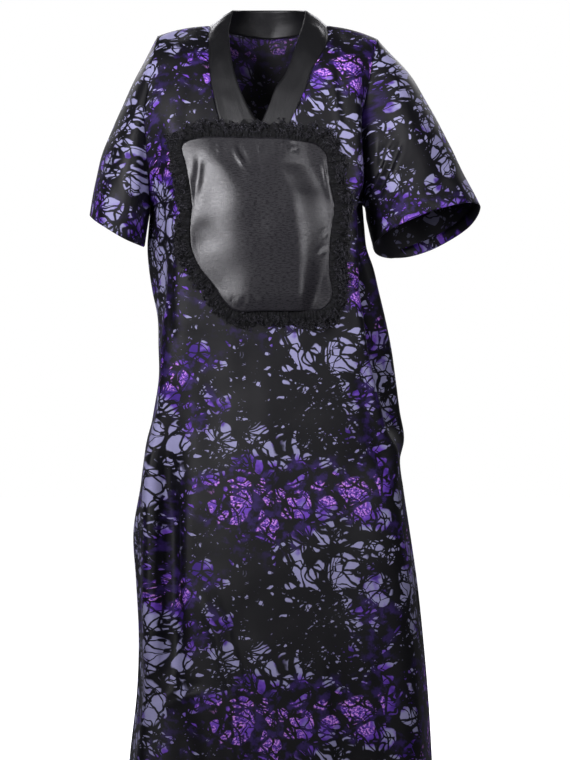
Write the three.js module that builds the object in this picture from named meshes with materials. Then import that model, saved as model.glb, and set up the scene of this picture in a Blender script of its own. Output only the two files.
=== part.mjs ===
// A long V-neck kaftan with wide elbow-length sleeves, as it hangs when worn: a hollow garment
// of thin cloth walls. Millimetres, +Z up, front facing -Y, origin between the shoulders at the
// height where the neckband meets the shoulder seams. "Left" is the side with negative x.
import * as THREE from 'three';

// ---------------------------------------------------------------- driving dimensions
const CLOTH = 2;                 // thickness of every cloth wall
const UNDERARM_EASE = 1.5;       // clearance of a sleeve at the underarm point, where it doubles back
const SEAM_GAP = 0.44;           // clearance between neighbouring pieces at a seam
const NECK_DRAW_IN = 0.8;        // how far the neckband's sewn edge is drawn in at its seam
const LAY_GAP = 0.9;             // clearance of the chest pieces over the cloth that carries them
const UNDERARM_Z = -300;         // height of both underarm points
const HEM_Z = -1385;             // height of the bottom hem

const SHOULDER_BOW = 4;          // how far each shoulder line bows up between neck and armhole
const BAND_ROLL = 1.6;           // how far the middle of the neckband stands proud

// Wall segments: down each half of an armhole, along a sleeve, across the neckband, and between the
// stations of a row of the front and of the back.
const ARMHOLE_STEPS = 12;
const SLEEVE_STEPS = 8;
const BAND_STEPS = 3;
const COLUMNS = { toMid: 3, toCrest: 3, toValley: 3, toEdge: 3 };
const BACK_COLUMNS = { toNeck: 4, toCrest: 4, toEdge: 4 };
const FRONT_ACROSS = Object.values(COLUMNS).reduce((sum, count) => sum + count);
const SHOULDER_ACROSS = BACK_COLUMNS.toCrest + BACK_COLUMNS.toEdge;

// Heights of the rings below the underarm.
const RING_LEVELS = [-335, -370, -402, -440, -485, -530, -585, -640, -690, -722, -765, -840,
  -920, -1010, -1105, -1200, -1295, HEM_Z];

// Centre line of front and back, by height: sideways drift and distance from the shoulder line.
const CENTRE = [
  { z: -60, x: -12, front: -60, back: 84 },
  { z: -166, x: -15, front: -98, back: 104 },
  { z: -300, x: -14, front: -115, back: 98 },
  { z: -440, x: 0, front: -112, back: 90 },
  { z: -600, x: 6, front: -109, back: 97 },
  { z: -850, x: 9, front: -115, back: 109 },
  { z: -1100, x: 12, front: -126, back: 121 },
  { z: HEM_Z, x: 15, front: -140, back: 138 },
];

// Each side of the front below the shoulder: the crest where the front turns the corner, the
// valley behind it and the outermost edge, which is the armhole or the side seam.
const LEFT_SIDE = [
  { z: -18, crestX: -150, crestY: 0, valleyX: -170, valleyY: 0 },
  { z: -24, crestX: -150, crestY: -20, valleyX: -170, valleyY: -22 },
  { z: -60, crestX: -150, crestY: -60, valleyX: -172, valleyY: -58 },
  { z: -159, crestX: -160, crestY: -94, valleyX: -183, valleyY: -86 },
  { z: -259, crestX: -161, crestY: -102, valleyX: -178, valleyY: -74 },
  { z: -300, crestX: -161, crestY: -103, valleyX: -176, valleyY: -62, edgeX: -198, edgeY: 5 },
  { z: -370, crestX: -161, crestY: -101, valleyX: -176, valleyY: -54, edgeX: -204, edgeY: 12 },
  { z: -440, crestX: -163, crestY: -97, valleyX: -175, valleyY: -54, edgeX: -196, edgeY: 12 },
  { z: -485, crestX: -166, crestY: -94, valleyX: -178, valleyY: -50, edgeX: -187, edgeY: 12 },
  { z: -585, crestX: -174, crestY: -85, valleyX: -182, valleyY: -50, edgeX: -185, edgeY: 8 },
  { z: -664, crestX: -180, crestY: -78, valleyX: -190, valleyY: -44, edgeX: -198, edgeY: 8 },
  { z: -765, crestX: -190, crestY: -76, valleyX: -204, valleyY: -42, edgeX: -215, edgeY: 6 },
  { z: -850, crestX: -194, crestY: -80, valleyX: -213, valleyY: -44, edgeX: -227, edgeY: 0 },
  { z: -990, crestX: -196, crestY: -82, valleyX: -208, valleyY: -46, edgeX: -218, edgeY: 0 },
  { z: -1130, crestX: -200, crestY: -88, valleyX: -212, valleyY: -48, edgeX: -222, edgeY: 0 },
  { z: -1220, crestX: -210, crestY: -92, valleyX: -224, valleyY: -50, edgeX: -234, edgeY: 0 },
  { z: HEM_Z, crestX: -218, crestY: -98, valleyX: -236, valleyY: -54, edgeX: -247, edgeY: 0 },
];
const RIGHT_SIDE = [
  { z: -22, crestX: 128, crestY: 0, valleyX: 152, valleyY: 0 },
  { z: -28, crestX: 129, crestY: -18, valleyX: 152, valleyY: -18 },
  { z: -60, crestX: 134, crestY: -56, valleyX: 154, valleyY: -48 },
  { z: -105, crestX: 141, crestY: -76, valleyX: 152, valleyY: -60 },
  { z: -159, crestX: 144, crestY: -88, valleyX: 150, valleyY: -68 },
  { z: -259, crestX: 147, crestY: -97, valleyX: 152, valleyY: -64 },
  { z: -300, crestX: 147, crestY: -98, valleyX: 151, valleyY: -60, edgeX: 154, edgeY: 5 },
  { z: -370, crestX: 146, crestY: -98, valleyX: 151, valleyY: -48, edgeX: 161, edgeY: 12 },
  { z: -402, crestX: 144, crestY: -98, valleyX: 151, valleyY: -46, edgeX: 172, edgeY: 12 },
  { z: -440, crestX: 143, crestY: -96, valleyX: 152, valleyY: -46, edgeX: 181, edgeY: 14 },
  { z: -530, crestX: 160, crestY: -90, valleyX: 169, valleyY: -48, edgeX: 201, edgeY: 14 },
  { z: -640, crestX: 190, crestY: -68, valleyX: 197, valleyY: -42, edgeX: 216, edgeY: 12 },
  { z: -690, crestX: 204, crestY: -56, valleyX: 209, valleyY: -38, edgeX: 223, edgeY: 10 },
  { z: -722, crestX: 205, crestY: -54, valleyX: 212, valleyY: -30, edgeX: 216, edgeY: 6 },
  { z: -765, crestX: 202, crestY: -66, valleyX: 215, valleyY: -36, edgeX: 221, edgeY: 0 },
  { z: -920, crestX: 216, crestY: -76, valleyX: 235, valleyY: -40, edgeX: 244, edgeY: 0 },
  { z: -1130, crestX: 232, crestY: -86, valleyX: 254, valleyY: -46, edgeX: 264, edgeY: 0 },
  { z: HEM_Z, crestX: 242, crestY: -96, valleyX: 266, valleyY: -52, edgeX: 277, edgeY: 0 },
];

// The sewn ring of each armhole and the open hem ring of each sleeve.
const LEFT_SLEEVE = {
  top: { x: -186, z: -18 }, midX: -205, lowX: -198, front: 76, back: 72,
  hemOuter: { x: -299, z: -314 }, hemInner: { x: -209, z: -366 }, hemY: 4,
  hemFront: 96, hemBack: 90, hemFrontLift: -9, hemBackLift: 10,
  topBulge: [0, 9, 15, 18, 13, 0], frontBulge: [0, 8, 10, 8, 3, 0],
};
const RIGHT_SLEEVE = {
  top: { x: 178, z: -23 }, midX: 150, lowX: 154, front: 54, back: 76,
  hemOuter: { x: 350, z: -303 }, hemInner: { x: 171, z: -366 }, hemY: 4,
  hemFront: 88, hemBack: 88, hemFrontLift: 20, hemBackLift: -38,
  topBulge: [0, 19, 18, 12, 5, 0], frontBulge: [0, 22, 24, 16, 6, 0],
};

// The neckband's sewn outer edge and free inner edge, from shoulder seam to the V.
const BAND_OUTER_LEFT = [[-100, 0, -1.7], [-101, -37, -34], [-97.6, -74, -94],
  [-90.7, -88, -127], [-80.6, -99, -168], [-50, -109, -235], [-17, -114, -290]];
const BAND_OUTER_RIGHT = [[95, 0, -1.3], [95, -37, -34], [79, -62, -65], [65.4, -76, -90],
  [57.5, -86, -118], [42, -96, -150], [31, -102, -178], [-17, -114, -290]];
const BAND_INNER_LEFT = [[-61.8, 5, 25.6], [-67.6, -22, -9], [-66.6, -42, -32],
  [-59.7, -68, -77], [-48.4, -86, -114], [-34.2, -95, -145], [-15.7, -100, -175]];
const BAND_INNER_RIGHT = [[59.8, 5, 25], [54.7, -18, 1], [43.6, -48, -37], [34.2, -66, -67],
  [24.9, -77, -90], [10.8, -86, -110], [-0.2, -94, -139], [-15.7, -100, -175]];
const NECK_BACK = { outerY: 76, outerZ: -15, innerY: 62, innerZ: 33 };

// Outline of the chest panel, clockwise from its upper left corner.
const PANEL_OUTLINE = [[-143, -207], [-126, -198], [-48, -197], [40, -200], [78, -207],
  [92, -222], [100, -275], [106, -308], [100, -357], [98, -411], [102, -455], [86, -475],
  [52, -477], [-10, -477], [-59, -475], [-92, -434], [-114, -407], [-127, -378],
  [-130, -345], [-127, -302], [-136, -244]];
const PANEL_SECTORS = 48;
const PANEL_RINGS = 6;
const PANEL_PUFF = 5;            // how far the chest panel's middle stands proud
const TRIM = { width: 31, waves: 52, stepsPerWave: 4, ridge: 6, wave: 4, scallop: 3 };

// Soft troughs pressed into the cloth: a line from (x1, z1) to (x2, z2), depth and half width.
const FRONT_TROUGHS = [
  { x1: -165, z1: -650, x2: -158, z2: -1090, depth: 9, width: 17 },
  { x1: -186, z1: -1085, x2: -168, z2: -1185, depth: 8, width: 26 },
  { x1: -92, z1: -950, x2: -44, z2: -1120, depth: 6, width: 15 },
  { x1: -44, z1: -1120, x2: -54, z2: -1400, depth: 9, width: 18 },
  { x1: 112, z1: -1120, x2: 132, z2: -1400, depth: 8, width: 24 },
];
const BACK_TROUGHS = [
  { x1: -58, z1: -470, x2: -76, z2: -1400, depth: 9, width: 22 },
  { x1: 72, z1: -600, x2: 92, z2: -1400, depth: 10, width: 24 },
  { x1: 6, z1: -900, x2: 10, z2: -1400, depth: 7, width: 20 },
  { x1: -118, z1: -110, x2: -150, z2: -290, depth: 7, width: 16 },
  { x1: 112, z1: -120, x2: 140, z2: -300, depth: 7, width: 16 },
];
const SLEEVE_TROUGHS = [
  { x1: 207, z1: -168, x2: 164, z2: -288, depth: 14, width: 14 },
  { x1: 300, z1: -205, x2: 266, z2: -330, depth: 6, width: 18 },
  { x1: -262, z1: -225, x2: -243, z2: -350, depth: 5, width: 16 },
];

const COLOURS = { print: 0x2c2740, satin: 0x1d1d20, panel: 0x3a3a3e, trim: 0x0d0d0f };

// ---------------------------------------------------------------- small helpers
const vec = (x, y, z) => new THREE.Vector3(x, y, z);
const mix = THREE.MathUtils.lerp;
const curveOf = (rows) => new THREE.CatmullRomCurve3(rows.map((r) => vec(...r)), false, 'centripetal');

// Reads one named column of a table at height z, smoothly and without overshoot.
function column(table, name, z) {
  const rows = table.filter((row) => row[name] !== undefined);
  if (z >= rows[0].z) return rows[0][name];
  const last = rows.length - 1;
  if (z <= rows[last].z) return rows[last][name];
  const i = rows.findIndex((row, k) => k < last && z <= row.z && z > rows[k + 1].z);
  const slope = (k) => (rows[k + 1][name] - rows[k][name]) / (rows[k + 1].z - rows[k].z);
  const tangent = (k) => {
    if (k === 0) return slope(0);
    if (k === last) return slope(last - 1);
    const [before, after] = [slope(k - 1), slope(k)];
    return before * after <= 0 ? 0 : (2 * before * after) / (before + after);
  };
  const span = rows[i + 1].z - rows[i].z;
  const t = (z - rows[i].z) / span;
  const [t2, t3] = [t * t, t * t * t];
  return (2 * t3 - 3 * t2 + 1) * rows[i][name] + (t3 - 2 * t2 + t) * span * tangent(i)
    + (3 * t2 - 2 * t3) * rows[i + 1][name] + (t3 - t2) * span * tangent(i + 1);
}

// Reads an evenly spaced list at a fraction from 0 to 1.
function listAt(list, fraction) {
  const place = fraction * (list.length - 1);
  const i = Math.min(Math.floor(place), list.length - 2);
  return mix(list[i], list[i + 1], place - i);
}

// Depth of the troughs at a place seen from the front.
function troughDepth(troughs, x, z) {
  let depth = 0;
  for (const fold of troughs) {
    const [dx, dz] = [fold.x2 - fold.x1, fold.z2 - fold.z1];
    const along = ((x - fold.x1) * dx + (z - fold.z1) * dz) / (dx * dx + dz * dz);
    const t = THREE.MathUtils.clamp(along, 0, 1);
    const distance = Math.hypot(x - fold.x1 - t * dx, z - fold.z1 - t * dz);
    depth += fold.depth * Math.exp(-((distance / fold.width) ** 2));
  }
  return depth;
}

// Points along a smooth curve through stations, with a set number of steps between each two.
function through(stations, steps) {
  const curve = new THREE.CatmullRomCurve3(stations, false, 'centripetal');
  const points = [];
  steps.forEach((count, i) => {
    for (let k = 0; k < count; k += 1) points.push(curve.getPoint((i + k / count) / steps.length));
  });
  return [...points, stations[stations.length - 1].clone()];
}

// ---------------------------------------------------------------- sheets and walls
// A sheet is an open surface of triangles whose points are shared where they coincide.
class Sheet {
  constructor() {
    this.points = [];
    this.triangles = [];
    this.index = new Map();
  }

  static key(point) {
    return [point.x, point.y, point.z].map((value) => Math.round(value * 1000)).join(' ');
  }

  add(point) {
    const key = Sheet.key(point);
    if (!this.index.has(key)) {
      this.index.set(key, this.points.length);
      this.points.push(point.clone());
    }
    return this.index.get(key);
  }

  triangle(a, b, c) {
    if (a !== b && b !== c && c !== a) this.triangles.push([a, b, c]);
  }

  // Rows of points, joined by quads that are split along their shorter diagonal.
  grid(rows, flip = false) {
    const ids = rows.map((row) => row.map((point) => this.add(point)));
    for (let r = 0; r + 1 < ids.length; r += 1) {
      for (let c = 0; c + 1 < ids[r].length; c += 1) {
        const quad = [ids[r][c], ids[r + 1][c], ids[r + 1][c + 1], ids[r][c + 1]];
        if (flip) quad.reverse();
        const [p, q, s, t] = quad.map((i) => this.points[i]);
        if (p.distanceTo(s) <= q.distanceTo(t)) {
          this.triangle(quad[0], quad[1], quad[2]);
          this.triangle(quad[0], quad[2], quad[3]);
        } else {
          this.triangle(quad[1], quad[2], quad[3]);
          this.triangle(quad[1], quad[3], quad[0]);
        }
      }
    }
    return this;
  }

  faceNormal([a, b, c]) {
    const ab = this.points[b].clone().sub(this.points[a]);
    return ab.cross(this.points[c].clone().sub(this.points[a]));
  }

  // Directed edges that only one triangle uses.
  border() {
    const edges = new Map();
    for (const [a, b, c] of this.triangles) {
      for (const [from, to] of [[a, b], [b, c], [c, a]]) {
        if (edges.has(`${to} ${from}`)) edges.delete(`${to} ${from}`);
        else edges.set(`${from} ${to}`, [from, to]);
      }
    }
    return [...edges.values()];
  }
}

// Normals shared by all sheets that are sewn together, so that walls meet in a mitre at seams.
function sharedNormals(sheets) {
  const sums = new Map();
  for (const sheet of sheets) {
    for (const face of sheet.triangles) {
      const normal = sheet.faceNormal(face).normalize();
      face.forEach((id, k) => {
        const here = sheet.points[id];
        const next = sheet.points[face[(k + 1) % 3]].clone().sub(here);
        const before = sheet.points[face[(k + 2) % 3]].clone().sub(here);
        const key = Sheet.key(here);
        if (!sums.has(key)) sums.set(key, vec(0, 0, 0));
        sums.get(key).addScaledVector(normal, next.angleTo(before));
      });
    }
  }
  sums.forEach((sum) => sum.normalize());
  return sums;
}

// Along each shoulder line both walls are mitred square to the line, whatever their columns.
function setShoulderNormals(normals) {
  for (const side of ['left', 'right']) {
    const along = shoulderPoint(side, 1).sub(shoulderPoint(side, 0));
    const square = vec(-along.z, 0, along.x).multiplyScalar(SIDES[side].sign).normalize();
    for (const steps of [FRONT_ACROSS, SHOULDER_ACROSS]) {
      shoulderRow(side, steps).slice(1, -1)
        .forEach((point) => normals.set(Sheet.key(point), square));
    }
  }
}

// Gives a sheet its thickness: the sheet is the outer face, drawn in by half a seam gap at its
// border, and the inner face lies one cloth thickness behind it.
function wallGeometry(sheet, normals, drawIn = SEAM_GAP / 2) {
  const inward = sheet.points.map(() => vec(0, 0, 0));
  const border = sheet.border();
  for (const [a, b] of border) {
    const edge = sheet.points[b].clone().sub(sheet.points[a]).normalize();
    const normal = normals.get(Sheet.key(sheet.points[a])).clone()
      .add(normals.get(Sheet.key(sheet.points[b])));
    const side = normal.cross(edge).normalize();
    inward[a].add(side);
    inward[b].add(side);
  }
  const outer = sheet.points.map((point, i) => {
    const length = inward[i].length();
    if (length < 1e-6) return point.clone();
    return point.clone().addScaledVector(inward[i], drawIn / (length * Math.max(length / 2, 0.5)));
  });
  const inner = outer.map((point, i) => {
    const normal = normals.get(Sheet.key(sheet.points[i]));
    return point.clone().addScaledVector(normal, -CLOTH);
  });
  const count = outer.length;
  const faces = [];
  for (const [a, b, c] of sheet.triangles) faces.push([a, b, c], [a + count, c + count, b + count]);
  for (const [a, b] of border) faces.push([b, a, a + count], [b, a + count, b + count]);
  const positions = [...outer, ...inner].flatMap((point) => point.toArray());
  const geometry = new THREE.BufferGeometry();
  geometry.setAttribute('position', new THREE.Float32BufferAttribute(positions, 3));
  geometry.setIndex(faces.flat());
  geometry.computeVertexNormals();
  return geometry;
}

// ---------------------------------------------------------------- armholes and neckline
// A point of the sewn armhole ring: 0 is the shoulder, 90 the front, 180 the underarm.
function armholePoint(sleeve, degrees) {
  const angle = THREE.MathUtils.degToRad(degrees);
  const [drop, forward] = [(1 - Math.cos(angle)) / 2, Math.sin(angle)];
  const reach = forward > 0 ? sleeve.front : sleeve.back;
  const underarmY = LEFT_SIDE.find((row) => row.z === UNDERARM_Z).edgeY;
  const x = listAt([sleeve.top.x, sleeve.midX, sleeve.lowX], drop);
  return vec(x, underarmY * drop - reach * forward, mix(sleeve.top.z, UNDERARM_Z, drop));
}

const stepAngle = (step) => (180 * step) / ARMHOLE_STEPS;
const stepShare = (step) => mix(
  step / ARMHOLE_STEPS, (1 - Math.cos(THREE.MathUtils.degToRad(stepAngle(step)))) / 2, 0.25);

const bandOuter = { left: curveOf(BAND_OUTER_LEFT), right: curveOf(BAND_OUTER_RIGHT) };
const bandInner = { left: curveOf(BAND_INNER_LEFT), right: curveOf(BAND_INNER_RIGHT) };

const SIDES = {
  left: { table: LEFT_SIDE, sleeve: LEFT_SLEEVE, sign: -1 },
  right: { table: RIGHT_SIDE, sleeve: RIGHT_SLEEVE, sign: 1 },
};

// A point of the sewn shoulder line, from the neckband out to the armhole. It bows up a little, in
// four straight lengths, so that front and back share it whatever their columns.
function shoulderPoint(side, share) {
  const lengths = 4;
  const bow = (part) => SHOULDER_BOW * 4 * part * (1 - part);
  const from = Math.min(Math.floor(share * lengths), lengths - 1) / lengths;
  const rise = mix(bow(from), bow(from + 1 / lengths), (share - from) * lengths);
  const point = bandOuter[side].getPointAt(0).lerp(armholePoint(SIDES[side].sleeve, 0), share);
  point.z += rise;
  return point;
}

const shoulderRow = (side, steps) => Array.from(
  { length: steps + 1 }, (_, step) => shoulderPoint(side, step / steps));

const centreAt = (z) => ({
  x: column(CENTRE, 'x', z), front: column(CENTRE, 'front', z), back: column(CENTRE, 'back', z),
});
const edgeAt = (side, z) => vec(
  column(SIDES[side].table, 'edgeX', z), column(SIDES[side].table, 'edgeY', z), z);

// ---------------------------------------------------------------- front
// Stations of a front row from the inside out, where inner is the neckline or the centre line.
function frontStations(side, inner, edge) {
  const { table } = SIDES[side];
  const crest = vec(column(table, 'crestX', edge.z), column(table, 'crestY', edge.z), 0);
  const valley = vec(column(table, 'valleyX', edge.z), column(table, 'valleyY', edge.z), 0);
  const mid = vec(mix(inner.x, crest.x, 0.52), mix(inner.y, crest.y, 0.3) - 3, 0);
  for (const station of [mid, crest, valley]) {
    station.z = mix(inner.z, edge.z, (station.x - inner.x) / (edge.x - inner.x));
  }
  return [inner, mid, crest, valley, edge];
}

function frontRow(side, inner, edge) {
  const steps = [COLUMNS.toMid, COLUMNS.toCrest, COLUMNS.toValley, COLUMNS.toEdge];
  return through(frontStations(side, inner, edge), steps);
}

// A row right across, smooth over the centre line.
function frontFullRow(centre, edges) {
  const left = frontStations('left', centre, edges.left).reverse();
  const right = frontStations('right', centre, edges.right);
  const half = [COLUMNS.toMid, COLUMNS.toCrest, COLUMNS.toValley, COLUMNS.toEdge];
  return through([...left, ...right.slice(1)], [...half].reverse().concat(half));
}

function pressFolds(row, troughs, inwardY) {
  return row.map((point, i) => {
    const fixed = i === 0 || i === row.length - 1;
    const depth = fixed ? 0 : troughDepth(troughs, point.x, point.z);
    return vec(point.x, point.y + inwardY * depth, point.z);
  });
}

function frontRows() {
  const upper = {
    left: [shoulderRow('left', FRONT_ACROSS)], right: [shoulderRow('right', FRONT_ACROSS)],
  };
  for (let step = 1; step < ARMHOLE_STEPS; step += 1) {
    for (const side of ['left', 'right']) {
      const inner = bandOuter[side].getPointAt(stepShare(step));
      const row = frontRow(side, inner, armholePoint(SIDES[side].sleeve, stepAngle(step)));
      upper[side].push(pressFolds(row, FRONT_TROUGHS, 1));
    }
  }
  const lower = [UNDERARM_Z, ...RING_LEVELS].map((z) => {
    const { x, front } = centreAt(z);
    const tip = bandOuter.left.getPointAt(1);
    const centre = z === UNDERARM_Z ? tip : vec(x, front, z);
    const edges = { left: edgeAt('left', z), right: edgeAt('right', z) };
    return pressFolds(frontFullRow(centre, edges), FRONT_TROUGHS, 1);
  });
  return { upper, lower };
}

function frontSheet() {
  const { upper, lower } = frontRows();
  const half = (lower[0].length - 1) / 2;
  const left = [...upper.left, lower[0].slice(0, half + 1).reverse()];
  const right = [...upper.right, lower[0].slice(half)];
  return new Sheet().grid(left, true).grid(right).grid(lower);
}

// ---------------------------------------------------------------- back
// A back row on one side, from the centre line out to the armhole or side seam.
function backStations(side, share, edge, centre) {
  const shoulder = bandOuter[side].getPointAt(0);
  const surfaceNeck = vec(mix(centre.x, edge.x, 0.5), mix(edge.y, centre.y, 0.93), 0);
  surfaceNeck.z = mix(centre.z, edge.z, 0.5);
  const settle = THREE.MathUtils.smoothstep(share, 0, 0.22);
  const neck = shoulder.clone().lerp(surfaceNeck, settle);
  const crest = vec(mix(neck.x, edge.x, 0.62), mix(edge.y, neck.y, mix(0.6, 0.78, settle)), 0);
  crest.z = mix(neck.z, edge.z, 0.62);
  return [centre, neck, crest, edge];
}

function backRow(share, edges, centre) {
  const left = backStations('left', share, edges.left, centre).reverse();
  const right = backStations('right', share, edges.right, centre);
  const half = [BACK_COLUMNS.toNeck, BACK_COLUMNS.toCrest, BACK_COLUMNS.toEdge];
  const row = through([...left, ...right.slice(1)], [...half].reverse().concat(half));
  return pressFolds(row, BACK_TROUGHS, -1);
}

// The top edge of the back: shoulder line, back neck, shoulder line.
function backTopRow() {
  const [left, right] = ['left', 'right'].map((side) => shoulderRow(side, SHOULDER_ACROSS));
  const [dip, share] = [0.66, 0.55];
  const beside = (end) => vec(end.x * share, NECK_BACK.outerY * dip, NECK_BACK.outerZ * dip);
  const neck = [left[0], beside(left[0]), vec(0, NECK_BACK.outerY, NECK_BACK.outerZ),
    beside(right[0]), right[0]];
  const curve = new THREE.CatmullRomCurve3(neck, false, 'centripetal');
  const inside = curve.getSpacedPoints(2 * BACK_COLUMNS.toNeck).slice(1, -1);
  return [...left.reverse(), ...inside, ...right];
}

function backRows() {
  const rows = [backTopRow()];
  for (let step = 1; step <= ARMHOLE_STEPS; step += 1) {
    const share = stepShare(step);
    const z = mix(NECK_BACK.outerZ, UNDERARM_Z, share);
    const surface = centreAt(z);
    const settle = THREE.MathUtils.smoothstep(share, 0, 0.2);
    const centre = vec(mix(0, surface.x, share), mix(NECK_BACK.outerY, surface.back, settle), z);
    const edges = {};
    for (const side of ['left', 'right']) {
      edges[side] = armholePoint(SIDES[side].sleeve, -stepAngle(step));
    }
    rows.push(backRow(share, edges, centre));
  }
  for (const z of RING_LEVELS) {
    const { x, back } = centreAt(z);
    const edges = { left: edgeAt('left', z), right: edgeAt('right', z) };
    rows.push(backRow(1, edges, vec(x, back, z)));
  }
  return rows;
}

// ---------------------------------------------------------------- sleeves
function hemPoint(sleeve, degrees) {
  const angle = THREE.MathUtils.degToRad(degrees);
  const [outward, forward] = [(1 + Math.cos(angle)) / 2, Math.sin(angle)];
  const reach = forward > 0 ? sleeve.hemFront : sleeve.hemBack;
  const lift = forward > 0 ? sleeve.hemFrontLift : sleeve.hemBackLift;
  const z = mix(sleeve.hemInner.z, sleeve.hemOuter.z, outward) + lift * Math.abs(forward);
  return vec(mix(sleeve.hemInner.x, sleeve.hemOuter.x, outward), sleeve.hemY - reach * forward, z);
}

function sleeveRows(side) {
  const { sleeve, sign } = SIDES[side];
  const angles = [];
  for (let step = 0; step < 2 * ARMHOLE_STEPS; step += 1) angles.push(stepAngle(step));
  return Array.from({ length: SLEEVE_STEPS + 1 }, (_, step) => {
    const along = step / SLEEVE_STEPS;
    const row = angles.map((degrees) => {
      const turned = degrees > 180 ? degrees - 360 : degrees;
      const point = armholePoint(sleeve, turned).lerp(hemPoint(sleeve, degrees), along);
      const angle = THREE.MathUtils.degToRad(degrees);
      const [outward, forward] = [Math.max(Math.cos(angle), 0), Math.sin(angle)];
      point.x += sign * listAt(sleeve.topBulge, along) * outward;
      if (degrees === 180) point.x += sign * UNDERARM_EASE * (1 - along);
      point.y -= listAt(sleeve.frontBulge, along) * forward;
      const free = Math.sin(Math.PI * Math.min(along * 2, 1) / 2) * Math.abs(forward);
      point.y += Math.sign(forward) * free * troughDepth(SLEEVE_TROUGHS, point.x, point.z);
      return point;
    });
    return [...row, row[0]];
  });
}

// ---------------------------------------------------------------- neckband
function bandRows(backRow0) {
  const neckCurve = backRow0.slice(SHOULDER_ACROSS + 1, backRow0.length - 1 - SHOULDER_ACROSS);
  const sideEdges = (side) => Array.from({ length: ARMHOLE_STEPS + 1 }, (_, step) => ({
    outer: bandOuter[side].getPointAt(stepShare(step)),
    inner: bandInner[side].getPointAt(stepShare(step)),
  }));
  const [left, right] = [sideEdges('left'), sideEdges('right')];
  const backCurve = curveOf([
    BAND_INNER_LEFT[0],
    [BAND_INNER_LEFT[0][0] * 0.72, NECK_BACK.innerY * 0.72, mix(25, NECK_BACK.innerZ, 0.7)],
    [0, NECK_BACK.innerY, NECK_BACK.innerZ],
    [BAND_INNER_RIGHT[0][0] * 0.72, NECK_BACK.innerY * 0.72, mix(25, NECK_BACK.innerZ, 0.7)],
    BAND_INNER_RIGHT[0],
  ]);
  const back = neckCurve.map((outer, i) => ({
    outer, inner: backCurve.getPointAt((i + 1) / (neckCurve.length + 1)),
  }));
  const ring = [...left.reverse(), ...back, ...right];
  return ring.map(({ outer, inner }, i) => {
    const before = ring[Math.max(i - 1, 0)].outer;
    const after = ring[Math.min(i + 1, ring.length - 1)].outer;
    const across = inner.clone().sub(outer);
    const proud = across.clone().cross(after.clone().sub(before)).normalize();
    return Array.from({ length: BAND_STEPS + 1 }, (_, k) => {
      const share = k / BAND_STEPS;
      const mitred = i === 0 || i === ring.length - 1;
      const roll = mitred ? 0 : BAND_ROLL * Math.sin(Math.PI * share);
      return outer.clone().addScaledVector(across, share).addScaledVector(proud, roll);
    });
  });
}

// ---------------------------------------------------------------- chest panel and trim
// Finds the cloth of the front and the neckband at a place seen from the front, and gives the
// point that lies a set distance off it.
function clothFinder(sheets, normals) {
  const faces = sheets.flatMap((sheet) => sheet.triangles
    .map((face) => face.map((id) => sheet.points[id]))
    .filter((corners) => corners.every((corner) => corner.y < 0))
    .map((corners) => ({ corners, tilts: corners.map((at) => normals.get(Sheet.key(at))) })));
  const find = (x, z) => {
    let found = null;
    for (const { corners: [a, b, c], tilts } of faces) {
      const area = (b.x - a.x) * (c.z - a.z) - (c.x - a.x) * (b.z - a.z);
      const u = ((x - a.x) * (c.z - a.z) - (c.x - a.x) * (z - a.z)) / area;
      const v = ((b.x - a.x) * (z - a.z) - (x - a.x) * (b.z - a.z)) / area;
      const y = a.y + u * (b.y - a.y) + v * (c.y - a.y);
      if (Math.min(u, v, 1 - u - v) >= -1e-6 && (!found || y < found.y)) {
        const tilt = tilts[0].clone().multiplyScalar(1 - u - v)
          .addScaledVector(tilts[1], u).addScaledVector(tilts[2], v).normalize();
        found = { y, tilt };
      }
    }
    return found;
  };
  // Over the open V the cloth is carried up from just below it.
  const stepDown = 3;
  return (x, z, distance) => {
    let below = z;
    while (!find(x, below) && below > UNDERARM_Z) below -= stepDown;
    const { y, tilt } = find(x, below);
    return vec(x, y, z).addScaledVector(tilt, distance);
  };
}

const panelCurve = new THREE.CatmullRomCurve3(
  PANEL_OUTLINE.map(([x, z]) => vec(x, 0, z)), true, 'centripetal');

function panelRows(offCloth) {
  const centre = PANEL_OUTLINE.reduce((sum, [x, z]) => sum.add(vec(x, 0, z)), vec(0, 0, 0))
    .divideScalar(PANEL_OUTLINE.length);
  return Array.from({ length: PANEL_RINGS + 1 }, (_, ring) => {
    const share = ring / PANEL_RINGS;
    const puff = PANEL_PUFF * (1 - share ** 3);
    const row = Array.from({ length: PANEL_SECTORS }, (_unused, sector) => {
      const place = centre.clone().lerp(panelCurve.getPointAt(sector / PANEL_SECTORS), share);
      return offCloth(place.x, place.z, LAY_GAP + CLOTH + puff);
    });
    return [...row, row[0]];
  });
}

function trimRows(offCloth) {
  const steps = TRIM.waves * TRIM.stepsPerWave;
  const row = Array.from({ length: steps }, (_, step) => {
    const here = panelCurve.getPointAt(step / steps);
    const tangent = panelCurve.getTangentAt(step / steps);
    const outward = vec(-tangent.z, 0, tangent.x);
    const wave = Math.sin((2 * Math.PI * step) / TRIM.stepsPerWave);
    const across = [
      { out: SEAM_GAP, proud: 0 },
      { out: TRIM.width * 0.35, proud: TRIM.ridge + TRIM.wave * wave * 0.5 },
      { out: TRIM.width * 0.72, proud: TRIM.ridge * 0.7 + TRIM.wave * wave },
      { out: TRIM.width + TRIM.scallop * wave, proud: TRIM.wave * 0.5 * (1 + wave) },
    ];
    return across.map(({ out, proud }) => {
      const place = here.clone().addScaledVector(outward, out);
      return offCloth(place.x, place.z, LAY_GAP + CLOTH + proud);
    });
  });
  return [...row, row[0]];
}

// ---------------------------------------------------------------- assembly
function piece(name, geometry, colour, roughness) {
  const material = new THREE.MeshStandardMaterial({ color: colour, roughness, metalness: 0 });
  const mesh = new THREE.Mesh(geometry, material);
  mesh.name = name;
  return mesh;
}

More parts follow.
